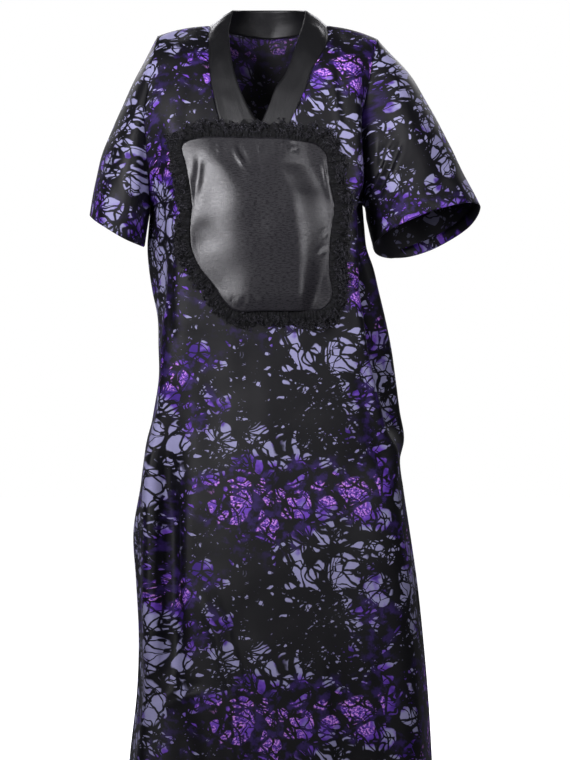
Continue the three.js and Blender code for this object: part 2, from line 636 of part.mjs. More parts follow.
const front = frontSheet();
const backPoints = backRows();
const back = new Sheet().grid(backPoints, true);
const sleeves = {
  left: new Sheet().grid(sleeveRows('left')),
  right: new Sheet().grid(sleeveRows('right'), true),
};
const band = new Sheet().grid(bandRows(backPoints[0]), true);
const normals = sharedNormals([front, back, sleeves.left, sleeves.right, band]);
setShoulderNormals(normals);

const offCloth = clothFinder([front, band], normals);
const panel = new Sheet().grid(panelRows(offCloth), true);
const trim = new Sheet().grid(trimRows(offCloth));

const kaftan = new THREE.Group();
kaftan.add(
  piece('front', wallGeometry(front, normals), COLOURS.print, 0.62),
  piece('back', wallGeometry(back, normals), COLOURS.print, 0.62),
  piece('sleeve_left', wallGeometry(sleeves.left, normals), COLOURS.print, 0.62),
  piece('sleeve_right', wallGeometry(sleeves.right, normals), COLOURS.print, 0.62),
  piece('neckband', wallGeometry(band, normals, NECK_DRAW_IN), COLOURS.satin, 0.4),
  piece('chest_panel', wallGeometry(panel, sharedNormals([panel])), COLOURS.panel, 0.35),
  piece('panel_trim', wallGeometry(trim, sharedNormals([trim])), COLOURS.trim, 0.9),
);

export default kaftan;
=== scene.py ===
"""A long V-neck kaftan of dark printed cloth, with a satin neckband and a framed satin chest panel.

The cloth keeps the hollow form that it has when worn. Sizes in the tables are millimetres in the
part's frame: +Z up, the front facing -Y, the origin between the shoulders. Every mesh is made in
metres at its place in that frame.
"""

import logging
import math
from dataclasses import dataclass, field
from enum import Enum

import bpy
import numpy as np
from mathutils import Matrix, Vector, noise
from mathutils.bvhtree import BVHTree

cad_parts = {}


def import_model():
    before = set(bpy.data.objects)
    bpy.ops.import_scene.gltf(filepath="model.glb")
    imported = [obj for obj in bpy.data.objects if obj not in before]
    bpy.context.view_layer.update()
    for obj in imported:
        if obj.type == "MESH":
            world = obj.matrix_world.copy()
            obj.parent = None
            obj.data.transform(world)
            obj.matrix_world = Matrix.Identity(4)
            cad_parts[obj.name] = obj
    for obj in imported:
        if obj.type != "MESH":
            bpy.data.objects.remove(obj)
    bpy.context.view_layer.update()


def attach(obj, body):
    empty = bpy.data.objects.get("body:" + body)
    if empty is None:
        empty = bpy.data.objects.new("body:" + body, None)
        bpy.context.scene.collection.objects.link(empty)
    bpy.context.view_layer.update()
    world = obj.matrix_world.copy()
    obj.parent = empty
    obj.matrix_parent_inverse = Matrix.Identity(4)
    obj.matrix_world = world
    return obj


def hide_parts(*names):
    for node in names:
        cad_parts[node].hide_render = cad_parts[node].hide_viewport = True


LOG = logging.getLogger("kaftan")
MM = 0.001
CLOTH_THICKNESS = 0.9 * MM
UNDERARM_Z = -300.0
HEM_Z = -1385.0
REPEAT = 355 * MM
FLAT_CLOTH = "flat_cloth"
FLOOR_GAP = 0.012
SIDES = {"left": -1, "right": 1}
TRIM_MIDDLE = np.array([-14, 0, -335])
BEHIND_PANEL = np.array([0, 60, -340])

Points = np.ndarray
Table = list[dict[str, float]]
Pair = tuple[float, float]
Pairs = tuple[Pair, ...]
Vector3 = tuple[float, float, float]
Colour = tuple[float, float, float, float]
Material = bpy.types.Material
MeshObject = bpy.types.Object
Node = bpy.types.Node
NodeTree = bpy.types.NodeTree
Socket = bpy.types.NodeSocket


# ---------------- curves and tables
class SmoothCurve:
    """A centripetal curve through a few points, read by parameter or by share of its length."""

    def __init__(self, points: list, closed: bool = False) -> None:
        """Stores the points and measures the curve.

        Args:
            points: the points that the curve goes through, in order.
            closed: whether the last point joins the first.
        """
        self.points = np.array(points, float)
        self.closed = closed
        self.samples = np.linspace(0, 1, 601)
        places = np.array([self.at(t) for t in self.samples])
        self.lengths = running(distances(places))

    def at(self, t: float) -> Points:
        """Reads the curve at a parameter.

        Args:
            t: the parameter, from 0 to 1.

        Returns:
            The point there.
        """
        pts, count = self.points, len(self.points)
        place = (count if self.closed else count - 1) * t
        k = int(math.floor(place))
        weight = place - k
        if not self.closed and k >= count - 1:
            k, weight = count - 2, 1.0
        if self.closed:
            p0, p1, p2, p3 = (pts[(k + i) % count] for i in (-1, 0, 1, 2))
        else:
            p1, p2 = pts[k], pts[k + 1]
            p0 = pts[k - 1] if k > 0 else 2 * pts[0] - pts[1]
            p3 = pts[k + 2] if k + 2 < count else 2 * pts[-1] - pts[-2]
        d0, d1, d2 = (max(np.linalg.norm(b - a), 1e-8) ** 0.5 for a, b in ((p0, p1), (p1, p2), (p2, p3)))
        m1 = ((p1 - p0) / d0 - (p2 - p0) / (d0 + d1) + (p2 - p1) / d1) * d1
        m2 = ((p2 - p1) / d1 - (p3 - p1) / (d1 + d2) + (p3 - p2) / d2) * d1
        w2, w3 = weight**2, weight**3
        return ((2 * w3 - 3 * w2 + 1) * p1 + (w3 - 2 * w2 + weight) * m1
                + (3 * w2 - 2 * w3) * p2 + (w3 - w2) * m2)

    def at_share(self, share: float) -> Points:
        """Reads the curve at a share of its length, from 0 at the start to 1 at the end."""
        t = float(np.interp(share * self.lengths[-1], self.lengths, self.samples))
        return self.at(t)

    def through(self, steps: list[int]) -> Points:
        """Reads a set number of steps between each two of the curve's points."""
        spans = len(steps)
        params = [(i + k / count) / spans for i, count in enumerate(steps) for k in range(count)]
        return np.array([self.at(t) for t in params] + [self.points[-1]])


def read_table(table: Table, name: str, z: float) -> float:
    """Reads one named column of a table at a height, smoothly and without overshoot.

    Args:
        table: rows from the top down, each with its height z.
        name: the column.
        z: the height to read at.

    Returns:
        The column's value there.
    """
    rows = [row for row in table if name in row]
    if z >= rows[0]["z"]:
        return rows[0][name]
    if z <= rows[-1]["z"]:
        return rows[-1][name]
    i = next(k for k in range(len(rows) - 1) if rows[k]["z"] >= z > rows[k + 1]["z"])
    span = rows[i + 1]["z"] - rows[i]["z"]

    def slope(k: int) -> float:
        """Slope between row k and the next."""
        return (rows[k + 1][name] - rows[k][name]) / (rows[k + 1]["z"] - rows[k]["z"])

    def tangent(k: int) -> float:
        """Slope at row k, kept from overshooting."""
        if k == 0:
            return slope(0)
        if k == len(rows) - 1:
            return slope(k - 1)
        before, after = slope(k - 1), slope(k)
        return 0.0 if before * after <= 0 else 2 * before * after / (before + after)

    t = (z - rows[i]["z"]) / span
    t2, t3 = t * t, t**3
    return ((2 * t3 - 3 * t2 + 1) * rows[i][name] + (t3 - 2 * t2 + t) * span * tangent(i)
            + (3 * t2 - 2 * t3) * rows[i + 1][name] + (t3 - t2) * span * tangent(i + 1))


def mix(a: float, b: float, share: float) -> float:
    """Value at a share of the way from a to b."""
    return a + (b - a) * share


def smooth(value: np.ndarray | float, low: float, high: float) -> np.ndarray | float:
    """Rises smoothly from 0 at low to 1 at high."""
    t = np.clip((value - low) / (high - low), 0, 1)
    return t * t * (3 - 2 * t)


def running(steps: np.ndarray) -> np.ndarray:
    """Running total of steps along their last axis, from 0."""
    return np.concatenate([np.zeros((*steps.shape[:-1], 1)), np.cumsum(steps, axis=-1)], axis=-1)


def distances(points: Points, axis: int = 0) -> np.ndarray:
    """Distance from each point to the next along an axis."""
    return np.linalg.norm(np.diff(points, axis=axis), axis=-1)


def unit(vectors: np.ndarray) -> np.ndarray:
    """Vectors of one a row or more, each made one long."""
    return vectors / np.linalg.norm(vectors, axis=-1, keepdims=True)


def list_at(values: list[float], share: float) -> float:
    """Reads an evenly spaced list at a share from 0 to 1."""
    return float(np.interp(share * (len(values) - 1), range(len(values)), values))


def refined(points: Points, counts: list[int], closed: bool = False) -> Points:
    """Puts smooth steps between the rows of a grid of points.

    Args:
        points: the grid, rows by columns by coordinates.
        counts: the number of steps between each row and the next.
        closed: whether the last row repeats the first.

    Returns:
        The finer grid.
    """
    chords = distances(points)
    while chords.ndim > 1:
        chords = chords.mean(axis=-1)
    chords = np.maximum(chords, 1e-6)[:, None, None]
    secants = np.diff(points, axis=0) / chords
    tangents = np.empty_like(points)
    tangents[1:-1] = (secants[1:] * chords[:-1] + secants[:-1] * chords[1:]) / (chords[1:] + chords[:-1])
    if closed:
        meeting = (secants[0] * chords[-1] + secants[-1] * chords[0]) / (chords[0] + chords[-1])
        tangents[0] = tangents[-1] = meeting
    else:
        tangents[0], tangents[-1] = secants[0], secants[-1]
    rows = []
    for i, count in enumerate(counts):
        for k in range(count):
            t = k / count
            t2, t3 = t * t, t**3
            rows.append((2 * t3 - 3 * t2 + 1) * points[i] + (t3 - 2 * t2 + t) * chords[i] * tangents[i]
                        + (3 * t2 - 2 * t3) * points[i + 1] + (t3 - t2) * chords[i] * tangents[i + 1])
    rows.append(points[-1])
    return np.array(rows)


def refined_across(points: Points, count: int, closed: bool = False) -> Points:
    """Puts smooth steps between the columns of a grid of points."""
    turned = np.swapaxes(points, 0, 1)
    fine = refined(turned, [count] * (len(turned) - 1), closed)
    return np.swapaxes(fine, 0, 1)


# ---------------- folds
class FoldKind(Enum):
    """The section that a fold has across its line."""

    TROUGH = "trough"
    RIDGE = "ridge"
    TUCK = "tuck"


TROUGH, RIDGE, TUCK = FoldKind.TROUGH, FoldKind.RIDGE, FoldKind.TUCK


@dataclass
class Fold:
    """A soft fold in the cloth, laid along a line seen from the front.

    Its line is a list of (x, z) in millimetres, its height and width are millimetres, and it fades
    out over a share of its length at both ends.
    """

    line: list[Pair]
    height: float
    width: float
    kind: FoldKind = TROUGH
    fade: float = 0.3

    def offsets(self, x: np.ndarray, z: np.ndarray) -> np.ndarray:
        """How far the fold lifts the cloth.

        Args:
            x: sideways places, in millimetres.
            z: heights, in millimetres.

        Returns:
            The lift outwards at each place, in millimetres.
        """
        corners = np.array(self.line, float)
        lengths = distances(corners)
        total, done = lengths.sum(), 0.0
        best = np.full(x.shape, 1e9)
        side = np.zeros(x.shape)
        share = np.zeros(x.shape)
        for a, b, length in zip(corners[:-1], corners[1:], lengths):
            along = (b - a) / length
            t = np.clip((x - a[0]) * along[0] + (z - a[1]) * along[1], 0, length)
            dx, dz = x - a[0] - t * along[0], z - a[1] - t * along[1]
            distance = np.hypot(dx, dz)
            near = distance < best
            best = np.where(near, distance, best)
            side = np.where(near, dx * along[1] - dz * along[0], side)
            share = np.where(near, (done + t) / total, share)
            done += length
        ends = smooth(share, 0, self.fade) * smooth(1 - share, 0, self.fade)
        section = np.exp(-((best / self.width) ** 2))
        if self.kind is TUCK:
            section = section * np.tanh(side / (0.35 * self.width))
        sign = -1 if self.kind is TROUGH else 1
        return sign * self.height * section * ends


def unevenness(points: Points, size: float, height: float, seed: float) -> np.ndarray:
    """Slow lift at each point, in swells of a size and height in millimetres and a seed of their own."""
    shift = Vector((seed, -seed, seed * 0.5))
    return np.array([height * noise.noise(Vector(p) / size + shift) for p in points])


# ---------------- cloth meshes
def placed(name: str, data: bpy.types.ID) -> MeshObject:
    """Makes an object of its data and links it to the scene."""
    obj = bpy.data.objects.new(name, data)
    bpy.context.scene.collection.objects.link(obj)
    return obj


class Cloth:
    """An open sheet of quads that is put together from grids whose points may coincide."""

    def __init__(self) -> None:
        """Starts with no points."""
        self.points: list[Points] = []
        self.index: dict[tuple, int] = {}
        self.faces: list[tuple] = []
        self.face_uvs: list[tuple] = []
        self.free: list[float] = []

    def add_grid(self, points: Points, uvs: Points, free: np.ndarray | None = None) -> None:
        """Adds a grid of quads.

        Args:
            points: rows by columns by coordinates, in millimetres.
            uvs: rows by columns by flat coordinates, in metres.
            free: how freely the cloth may be folded at each point, 0 at a seam and 1 away from it.
        """
        rows, columns = points.shape[:2]
        free = np.ones((rows, columns)) if free is None else free
        ids = np.empty((rows, columns), int)
        for r in range(rows):
            for c in range(columns):
                key = tuple(np.round(points[r, c], 2))
                if key not in self.index:
                    self.index[key] = len(self.points)
                    self.points.append(points[r, c])
                    self.free.append(float(free[r, c]))
                ids[r, c] = self.index[key]
        for r in range(rows - 1):
            for c in range(columns - 1):
                corners = [(r, c), (r + 1, c), (r + 1, c + 1), (r, c + 1)]
                unique: dict[int, tuple] = {}
                for corner in corners:
                    unique.setdefault(int(ids[corner]), tuple(uvs[corner]))
                if len(unique) > 2:
                    self.faces.append(tuple(unique))
                    self.face_uvs.append(tuple(unique.values()))

    def build(self, name: str, inside: Points) -> MeshObject:
        """Makes the mesh, in metres, with its faces pointing away from the wearer.

        Args:
            name: the piece's name.
            inside: for each point, or for all, a place inside the garment, in millimetres.

        Returns:
            The new object, with a UV map of flat cloth coordinates.
        """
        points = np.array(self.points)
        inside = np.broadcast_to(np.asarray(inside, float), points.shape)
        lean = 0.0
        for face in self.faces[:: max(1, len(self.faces) // 500)]:
            a, b, c = points[face[0]], points[face[1]], points[face[2]]
            lean += float(np.dot(np.cross(b - a, c - a), a - inside[face[0]]))
        flip = lean < 0
        faces = [face[::-1] if flip else face for face in self.faces]
        uvs = [uv[::-1] if flip else uv for uv in self.face_uvs]
        mesh = bpy.data.meshes.new(name)
        mesh.from_pydata((points * MM).tolist(), [], faces)
        layer = mesh.uv_layers.new(name=FLAT_CLOTH)
        corners = np.array([value for face in uvs for value in face], np.float32)
        layer.data.foreach_set("uv", corners.ravel())
        mesh.polygons.foreach_set("use_smooth", [True] * len(mesh.polygons))
        mesh.update()
        return placed(name, mesh)


def mesh_points(obj: MeshObject) -> tuple[Points, Points]:
    """Reads a mesh's points and normals.

    Args:
        obj: the mesh object.

    Returns:
        The points in millimetres and the unit normals.
    """
    mesh = obj.data
    co = np.empty(len(mesh.vertices) * 3, np.float32)
    mesh.vertices.foreach_get("co", co)
    normals = np.empty(len(mesh.vertices) * 3, np.float32)
    mesh.vertex_normals.foreach_get("vector", normals)
    return co.reshape(-1, 3).astype(float) / MM, normals.reshape(-1, 3).astype(float)


def lift(obj: MeshObject, amounts: np.ndarray) -> None:
    """Moves each point of a mesh along its normal.

    Args:
        obj: the mesh object.
        amounts: how far each point moves, in millimetres.
    """
    points, normals = mesh_points(obj)
    moved = (points + normals * amounts[:, None]) * MM
    obj.data.vertices.foreach_set("co", moved.astype(np.float32).ravel())
    obj.data.update()


def baked(obj: MeshObject) -> MeshObject:
    """Turns an object's modifiers into plain mesh and removes them."""
    bpy.context.view_layer.update()
    evaluated = obj.evaluated_get(bpy.context.evaluated_depsgraph_get())
    mesh = bpy.data.meshes.new_from_object(evaluated)
    old = obj.data
    obj.modifiers.clear()
    obj.data = mesh
    bpy.data.meshes.remove(old)
    mesh.name = obj.name
    return obj


def thickened(obj: MeshObject, thickness: float, face: Material,
              reverse: Material | None = None) -> MeshObject:
    """Gives a sheet its thickness, inwards, and its materials.

    Args:
        obj: the open sheet.
        thickness: in metres.
        face: the material of the right side and the edges.
        reverse: the material of the wrong side, or the same if left out.

    Returns:
        The same object as a closed mesh.
    """
    obj.data.materials.append(face)
    obj.data.materials.append(reverse or face)
    solid = obj.modifiers.new("thickness", "SOLIDIFY")
    solid.thickness = thickness
    solid.offset = -1
    solid.use_even_offset = False
    solid.material_offset = 1
    return baked(obj)


def as_piece(obj: MeshObject, node: str | None = None) -> MeshObject:
    """Makes an object ride on the garment's one body.

    Args:
        obj: the finished piece.
        node: the solid that it stands for, if any.

    Returns:
        The same object.
    """
    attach(obj, "root")
    if node:
        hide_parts(node)
    LOG.info("%s: %d faces", obj.name, len(obj.data.polygons))
    return obj


# ---------------- node trees
class NodeDesk:
    """Places and links nodes in one tree, so that a finish reads as a short list of steps."""

    def __init__(self, tree: NodeTree) -> None:
        """Works on a tree."""
        self.tree = tree

    @classmethod
    def group(cls, name: str, inputs: dict[str, tuple[str, object]], outputs: dict[str, str],
              kind: str = "ShaderNodeTree") -> tuple["NodeDesk", Node, Node]:
        """Starts a node group.

        Args:
            name: the group's name.
            inputs: for each input its kind of socket and default value.
            outputs: for each output its kind of socket.
            kind: the kind of tree.

        Returns:
            The desk, the group's input node and its output node.
        """
        tree = bpy.data.node_groups.new(name, kind)
        for label, (socket_kind, default) in inputs.items():
            socket = tree.interface.new_socket(label, in_out="INPUT", socket_type=f"NodeSocket{socket_kind}")
            if default is not None:
                socket.default_value = default
        for label, socket_kind in outputs.items():
            tree.interface.new_socket(label, in_out="OUTPUT", socket_type=f"NodeSocket{socket_kind}")
        desk = cls(tree)
        return desk, desk.add("NodeGroupInput"), desk.add("NodeGroupOutput")

    def add(self, kind: str, inputs: dict | None = None, **settings: object) -> Node:
        """Places a node.

        Args:
            kind: the node's type name.
            inputs: values or sockets for its inputs, by name or number.
            settings: the node's own settings.

        Returns:
            The node.
        """
        node = self.tree.nodes.new(kind)
        for name, value in settings.items():
            setattr(node, name, value)
        for name, value in (inputs or {}).items():
            self.put(node.inputs[name], value)
        return node

    def put(self, socket: Socket, value: object) -> None:
        """Links a socket to an input, or sets the input's own value."""
        if isinstance(value, Socket):
            self.tree.links.new(value, socket)
        else:
            socket.default_value = value

    def math(self, operation: str, *values: object) -> Socket:
        """Result of a maths node on up to three values."""
        return self.add("ShaderNodeMath", dict(enumerate(values)), operation=operation).outputs[0]

    def times(self, a: object, b: object) -> Socket:
        """Product of two values."""
        return self.math("MULTIPLY", a, b)

    def plus(self, a: object, b: object) -> Socket:
        """Sum of two values."""
        return self.math("ADD", a, b)

    def minus(self, a: object, b: object) -> Socket:
        """The first value less the second."""
        return self.math("SUBTRACT", a, b)

    def times_plus(self, a: object, b: object, c: object) -> Socket:
        """Product of the first two values, plus the third."""
        return self.math("MULTIPLY_ADD", a, b, c)

    def vector(self, operation: str, *values: object) -> Socket:
        """Result of a vector maths node on up to three values."""
        return self.add("ShaderNodeVectorMath", dict(enumerate(values)), operation=operation).outputs[0]

    def scaled(self, vector: Socket, factor: object) -> Socket:
        """A vector times a number."""
        return self.add("ShaderNodeVectorMath", {0: vector, "Scale": factor}, operation="SCALE").outputs[0]

    def turned(self, vector: Socket, angle: float, axis: str) -> Socket:
        """A vector turned about the X or the Z axis, by an angle in radians."""
        return self.add("ShaderNodeVectorRotate", {"Vector": vector, "Angle": angle},
                        rotation_type=f"{axis}_AXIS").outputs[0]

    def step(self, value: object, low: float, high: float, start: float = 0.0, end: float = 1.0) -> Socket:
        """Rises smoothly from start at low to end at high."""
        return self.add("ShaderNodeMapRange", {
            "Value": value, "From Min": low, "From Max": high, "To Min": start, "To Max": end},
            interpolation_type="SMOOTHSTEP").outputs[0]

    def blend(self, share: object, a: object, b: object, way: str = "MIX") -> Socket:
        """Colour at a share of the way from a to b, or to what the way of blending makes of both."""
        return self.add("ShaderNodeMix", {0: share, 6: a, 7: b}, data_type="RGBA", blend_type=way).outputs[2]

    def noise(self, vector: object, scale: object, detail: float = 2.0, roughness: float = 0.5,
              output: int = 0) -> Socket:
        """A noise texture: its value, or its colour as output 1."""
        return self.add("ShaderNodeTexNoise", {
            "Vector": vector, "Scale": scale, "Detail": detail, "Roughness": roughness}).outputs[output]

    def cells(self, vector: object, scale: float, feature: str = "F1") -> Node:
        """A cell texture, with each cell's own colour and the distance from its middle."""
        return self.add("ShaderNodeTexVoronoi", {"Vector": vector, "Scale": scale, "Randomness": 1.0},
                        feature=feature)

    def edges(self, vector: object, scale: float) -> Socket:
        """Distance to the nearest edge of the same cells."""
        return self.cells(vector, scale, "DISTANCE_TO_EDGE").outputs["Distance"]

    def effect(self, tree: NodeTree, vector: Socket, **values: float) -> Node:
        """Places a shared effect at a place on the cloth, with its own values."""
        return self.add("ShaderNodeGroup", {"Vector": vector, **values}, node_tree=tree)


@dataclass(frozen=True)
class Stones:
    """One size of printed stones: cells a metre, bare rim in metres, and share of cells with a stone."""

    scale: float
    rim: float
    few: float
    many: float


@dataclass(frozen=True)
class PebblePrint:
    """The pebbled print: pale stones, shards and specks on black, some of them violet or pink."""

    huge: Stones = Stones(15.5, 0.0018, 0.02, 0.32)
    big: Stones = Stones(27.0, 0.0015, 0.06, 0.64)
    mid: Stones = Stones(60.0, 0.0012, 0.11, 0.72)
    shard: Stones = Stones(150.0, 0.0008, 0.16, 0.86)
    speck: Stones = Stones(320.0, 0.0005, 0.12, 0.46)
    shard_angles: Pair = (0.6, -0.95)
    shard_squeeze: Vector3 = (0.42, 1.0, 1.0)
    stone_squeeze: Vector3 = (0.62, 1.0, 1.0)
    arc_squeeze: Vector3 = (0.55, 1.0, 1.0)
    slant_squeeze: Vector3 = (0.30, 1.0, 1.0)
    ground: Colour = (0.0028, 0.0027, 0.0042, 1.0)
    lavender: Colour = (0.275, 0.265, 0.445, 1.0)
    pale: Colour = (0.32, 0.32, 0.50, 1.0)
    violet: Colour = (0.045, 0.014, 0.190, 1.0)
    purple: Colour = (0.14, 0.050, 0.44, 1.0)
    pink: Colour = (0.66, 0.29, 0.80, 1.0)
    dusk: Colour = (0.030, 0.012, 0.110, 1.0)

    @staticmethod
    def _drum(desk: NodeDesk, flat: Socket) -> Socket:
        """The flat place rolled round a drum, so that the print repeats down the cloth."""
        parts = desk.add("ShaderNodeSeparateXYZ", {0: flat})
        radius = REPEAT / math.tau
        turn = desk.math("DIVIDE", parts.outputs[1], radius)
        return desk.add("ShaderNodeCombineXYZ", {
            0: parts.outputs[0],
            1: desk.times(desk.math("COSINE", turn), radius),
            2: desk.times(desk.math("SINE", turn), radius)}).outputs[0]

    @staticmethod
    def _bent(desk: NodeDesk, vector: Socket, scale: float, reach: float) -> Socket:
        """The place, pushed about by noise."""
        push = desk.vector("SUBTRACT", desk.noise(vector, scale, output=1), (0.5, 0.5, 0.5))
        return desk.vector("ADD", vector, desk.scaled(push, reach))

    @staticmethod
    def _stones(desk: NodeDesk, vector: Socket, size: Stones, wealth: Socket) -> tuple[Socket, Socket, Socket]:
        """Lays one size of stones.

        Args:
            desk: the print's desk.
            vector: the place.
            size: the size of stones.
            wealth: 0 where few, 1 where many.

        Returns:
            Their shape, whether the cell has one, and the cell's own value.
        """
        cell = desk.cells(vector, size.scale)
        own = desk.add("ShaderNodeSeparateColor", {0: cell.outputs["Color"]})
        width = size.rim * size.scale
        shape = desk.times(desk.step(desk.edges(vector, size.scale), width, width + 0.035),
                           desk.step(cell.outputs["Distance"], 0.585, 0.535))
        share = desk.times_plus(wealth, size.many - size.few, size.few)
        return shape, desk.math("LESS_THAN", own.outputs[0], share), own.outputs[1]

    def _ink(self, desk: NodeDesk, drum: Socket, place: Socket, where: Socket) -> tuple[Socket, Socket]:
        """Lays the stones over the shards and specks, with dark lines across them.

        Args:
            desk: the print's desk.
            drum: the place on the drum.
            place: the same, bent.
            where: slow change that says where the print is violet and rich.

        Returns:
            The ink's mask and the big stones' own values.
        """
        crowd = desk.noise(drum, 6.5, 1.5)
        crowded = desk.math("MAXIMUM", desk.step(crowd, 0.42, 0.57), desk.step(where, 0.60, 0.64))
        lavish = desk.times_plus(desk.step(where, 0.62, 0.66), 1.4, crowded)
        flat = desk.vector("MULTIPLY", place, self.stone_squeeze)
        huge = self._stones(desk, place, self.huge, lavish)
        big = self._stones(desk, place, self.big, lavish)
        mid = self._stones(desk, flat, self.mid, crowded)
        shards = []
        for angle in self.shard_angles:
            tilted = desk.turned(desk.turned(place, angle, "X"), angle, "Z")
            squeezed = desk.vector("MULTIPLY", tilted, self.shard_squeeze)
            shards.append(self._stones(desk, squeezed, self.shard, crowded))
        which = desk.step(desk.noise(drum, 12.0, 1.0), 0.49, 0.51)
        small = [desk.times_plus(which, desk.minus(shards[1][i], shards[0][i]), shards[0][i]) for i in (0, 1)]
        specks, has_specks, _ = self._stones(desk, flat, self.speck, crowded)
        veil = desk.step(desk.noise(drum, 30.0), 0.40, 0.56)
        ink = desk.times(desk.times(specks, has_specks), veil)
        for shape, has in (small, mid[:2], big[:2], huge[:2]):
            ink = desk.plus(desk.times(shape, has), desk.times(ink, desk.minus(1.0, has)))
        return desk.times(ink, self._lines(desk, place, flat)), big[2]

    def _lines(self, desk: NodeDesk, place: Socket, flat: Socket) -> Socket:
        """The dark lines that cross the stones, as a mask that is 0 on a line."""
        arcs = desk.vector("MULTIPLY", self._bent(desk, place, 9.0, 0.06), self.arc_squeeze)
        slanted = desk.turned(self._bent(desk, place, 7.0, 0.05), 0.9, "Z")
        lines = desk.step(desk.edges(arcs, 19.0), 0.020, 0.040)
        for vector, scale, low, high in (
                (self._bent(desk, place, 24.0, 0.05), 18.0, 0.016, 0.034),
                (desk.vector("MULTIPLY", slanted, self.slant_squeeze), 26.0, 0.022, 0.046),
                (self._bent(desk, flat, 34.0, 0.04), 34.0, 0.018, 0.040)):
            lines = desk.times(lines, desk.step(desk.edges(vector, scale), low, high))
        return lines

    def _paint(self, desk: NodeDesk, drum: Socket, place: Socket, where: Socket, tone: Socket) -> Socket:
        """Colours the stones.

        Args:
            desk: the print's desk.
            drum: the place on the drum.
            place: the same, bent.
            where: slow change that says where the print is violet and rich.
            tone: the big stones' own values.

        Returns:
            The colour that each place has if it has ink.
        """
        tint = desk.noise(drum, 21.0, 3.0, 0.6)
        cool = desk.step(desk.plus(desk.times(where, 0.7), desk.times(tint, 0.5)), 0.60, 0.68)
        paint = desk.blend(desk.step(tone, 0.2, 0.9, 0.0, 0.16), self.lavender, self.pale)
        paint = desk.blend(cool, paint, self.purple)
        paint = desk.blend(desk.times(cool, desk.step(tint, 0.50, 0.62)), paint, self.violet)
        grain = desk.noise(place, 270.0, 3.0, 0.66)
        mottle = desk.blend(desk.step(grain, 0.42, 0.50), self.violet, self.purple)
        mottle = desk.blend(desk.step(grain, 0.50, 0.60), mottle, self.pink)
        mottle = desk.blend(desk.step(grain, 0.40, 0.34), mottle, self.ground)
        flame = desk.times(desk.step(where, 0.635, 0.665), desk.step(tint, 0.38, 0.46))
        return desk.blend(flame, paint, mottle)

    def build(self) -> NodeTree:
        """Builds the group, which puts out the colour and where there is ink."""
        desk, into, out = NodeDesk.group("pebble_print", {"Vector": ("Vector", None)},
                                         {"Color": "Color", "Ink": "Float"})
        drum = self._drum(desk, into.outputs["Vector"])
        place = self._bent(desk, self._bent(desk, drum, 13.0, 0.030), 55.0, 0.007)
        where = desk.noise(desk.vector("ADD", drum, (3.7, 1.1, 0.4)), 7.0, 1.5)
        ink, tone = self._ink(desk, drum, place, where)
        paint = self._paint(desk, drum, place, where, tone)
        hazy = desk.times(desk.step(where, 0.50, 0.60), desk.step(desk.noise(drum, 62.0, 3.0), 0.48, 0.66))
        colour = desk.blend(desk.times(hazy, 0.75), desk.blend(ink, self.ground, paint),
                            desk.blend(ink, self.dusk, paint))
        desk.put(out.inputs["Color"], colour)
        desk.put(out.inputs["Ink"], ink)
        return desk.tree


class SharedEffects:
    """The effects that more than one finish uses, each built once."""

    slub_grain: Vector3 = (150.0, 640.0, 1.0)

    def __init__(self) -> None:
        """Builds the groups."""
        self.weave = self._weave()
        self.rumple = self._rumple()
        self.print = PebblePrint().build()

    def _weave(self) -> NodeTree:
        """Fine over-and-under of the threads, as a height and as a shade around 1."""
        desk, into, out = NodeDesk.group(
            "thread_weave", {"Vector": ("Vector", None), "Threads": ("Float", 1400.0), "Slub": ("Float", 0.3)},
            {"Height": "Float", "Shade": "Float"})
        place = into.outputs["Vector"]
        parts = desk.add("ShaderNodeSeparateXYZ", {0: place})
        waves = [desk.math("SINE", desk.times(parts.outputs[i], into.outputs["Threads"])) for i in (0, 1)]
        slub = desk.noise(desk.vector("MULTIPLY", place, self.slub_grain), 1.0, 3.0, 0.6)
        thick = desk.times(desk.minus(slub, 0.5), into.outputs["Slub"])
        crossing = desk.times(desk.times(*waves), 0.25)
        desk.put(out.inputs["Height"], desk.plus(crossing, desk.times(thick, 2.0)))
        desk.put(out.inputs["Shade"], desk.plus(1.0, thick))
        return desk.tree

    @staticmethod
    def _rumple() -> NodeTree:
        """Soft small rumples of handled cloth, as a height and a slow change of gloss."""
        desk, into, out = NodeDesk.group("soft_rumple", {"Vector": ("Vector", None), "Size": ("Float", 26.0)},
                                         {"Height": "Float", "Gloss": "Float"})
        bent = desk.vector("MULTIPLY", into.outputs["Vector"], (1.0, 0.62, 1.0))
        desk.put(out.inputs["Height"], desk.noise(bent, into.outputs["Size"], 3.0, 0.45))
        desk.put(out.inputs["Gloss"], desk.minus(desk.noise(into.outputs["Vector"], 7.0), 0.5))
        return desk.tree


class Finish:
    """Base of the finishes: starts a material and dresses its shader."""

    @staticmethod
    def start(name: str) -> tuple[Material, NodeDesk, Node]:
        """Starts a material and gives it with its desk and its Principled shader."""
        material = bpy.data.materials.new(name)
        material.use_nodes = True
        return material, NodeDesk(material.node_tree), material.node_tree.nodes["Principled BSDF"]

    @staticmethod
    def bumps(desk: NodeDesk, shader: Node, layers: list[tuple[Socket, float, float]]) -> None:
        """Stacks bump layers onto the shader's normal.

        Args:
            desk: the material's desk.
            shader: its Principled shader.
            layers: for each layer its height, its depth in metres and its strength.
        """
        normal = None
        for height, depth, strength in layers:
            bump = desk.add("ShaderNodeBump", {"Height": height, "Distance": depth, "Strength": strength})
            if normal is not None:
                desk.put(bump.inputs["Normal"], normal)
            normal = bump.outputs[0]
        desk.put(shader.inputs["Normal"], normal)


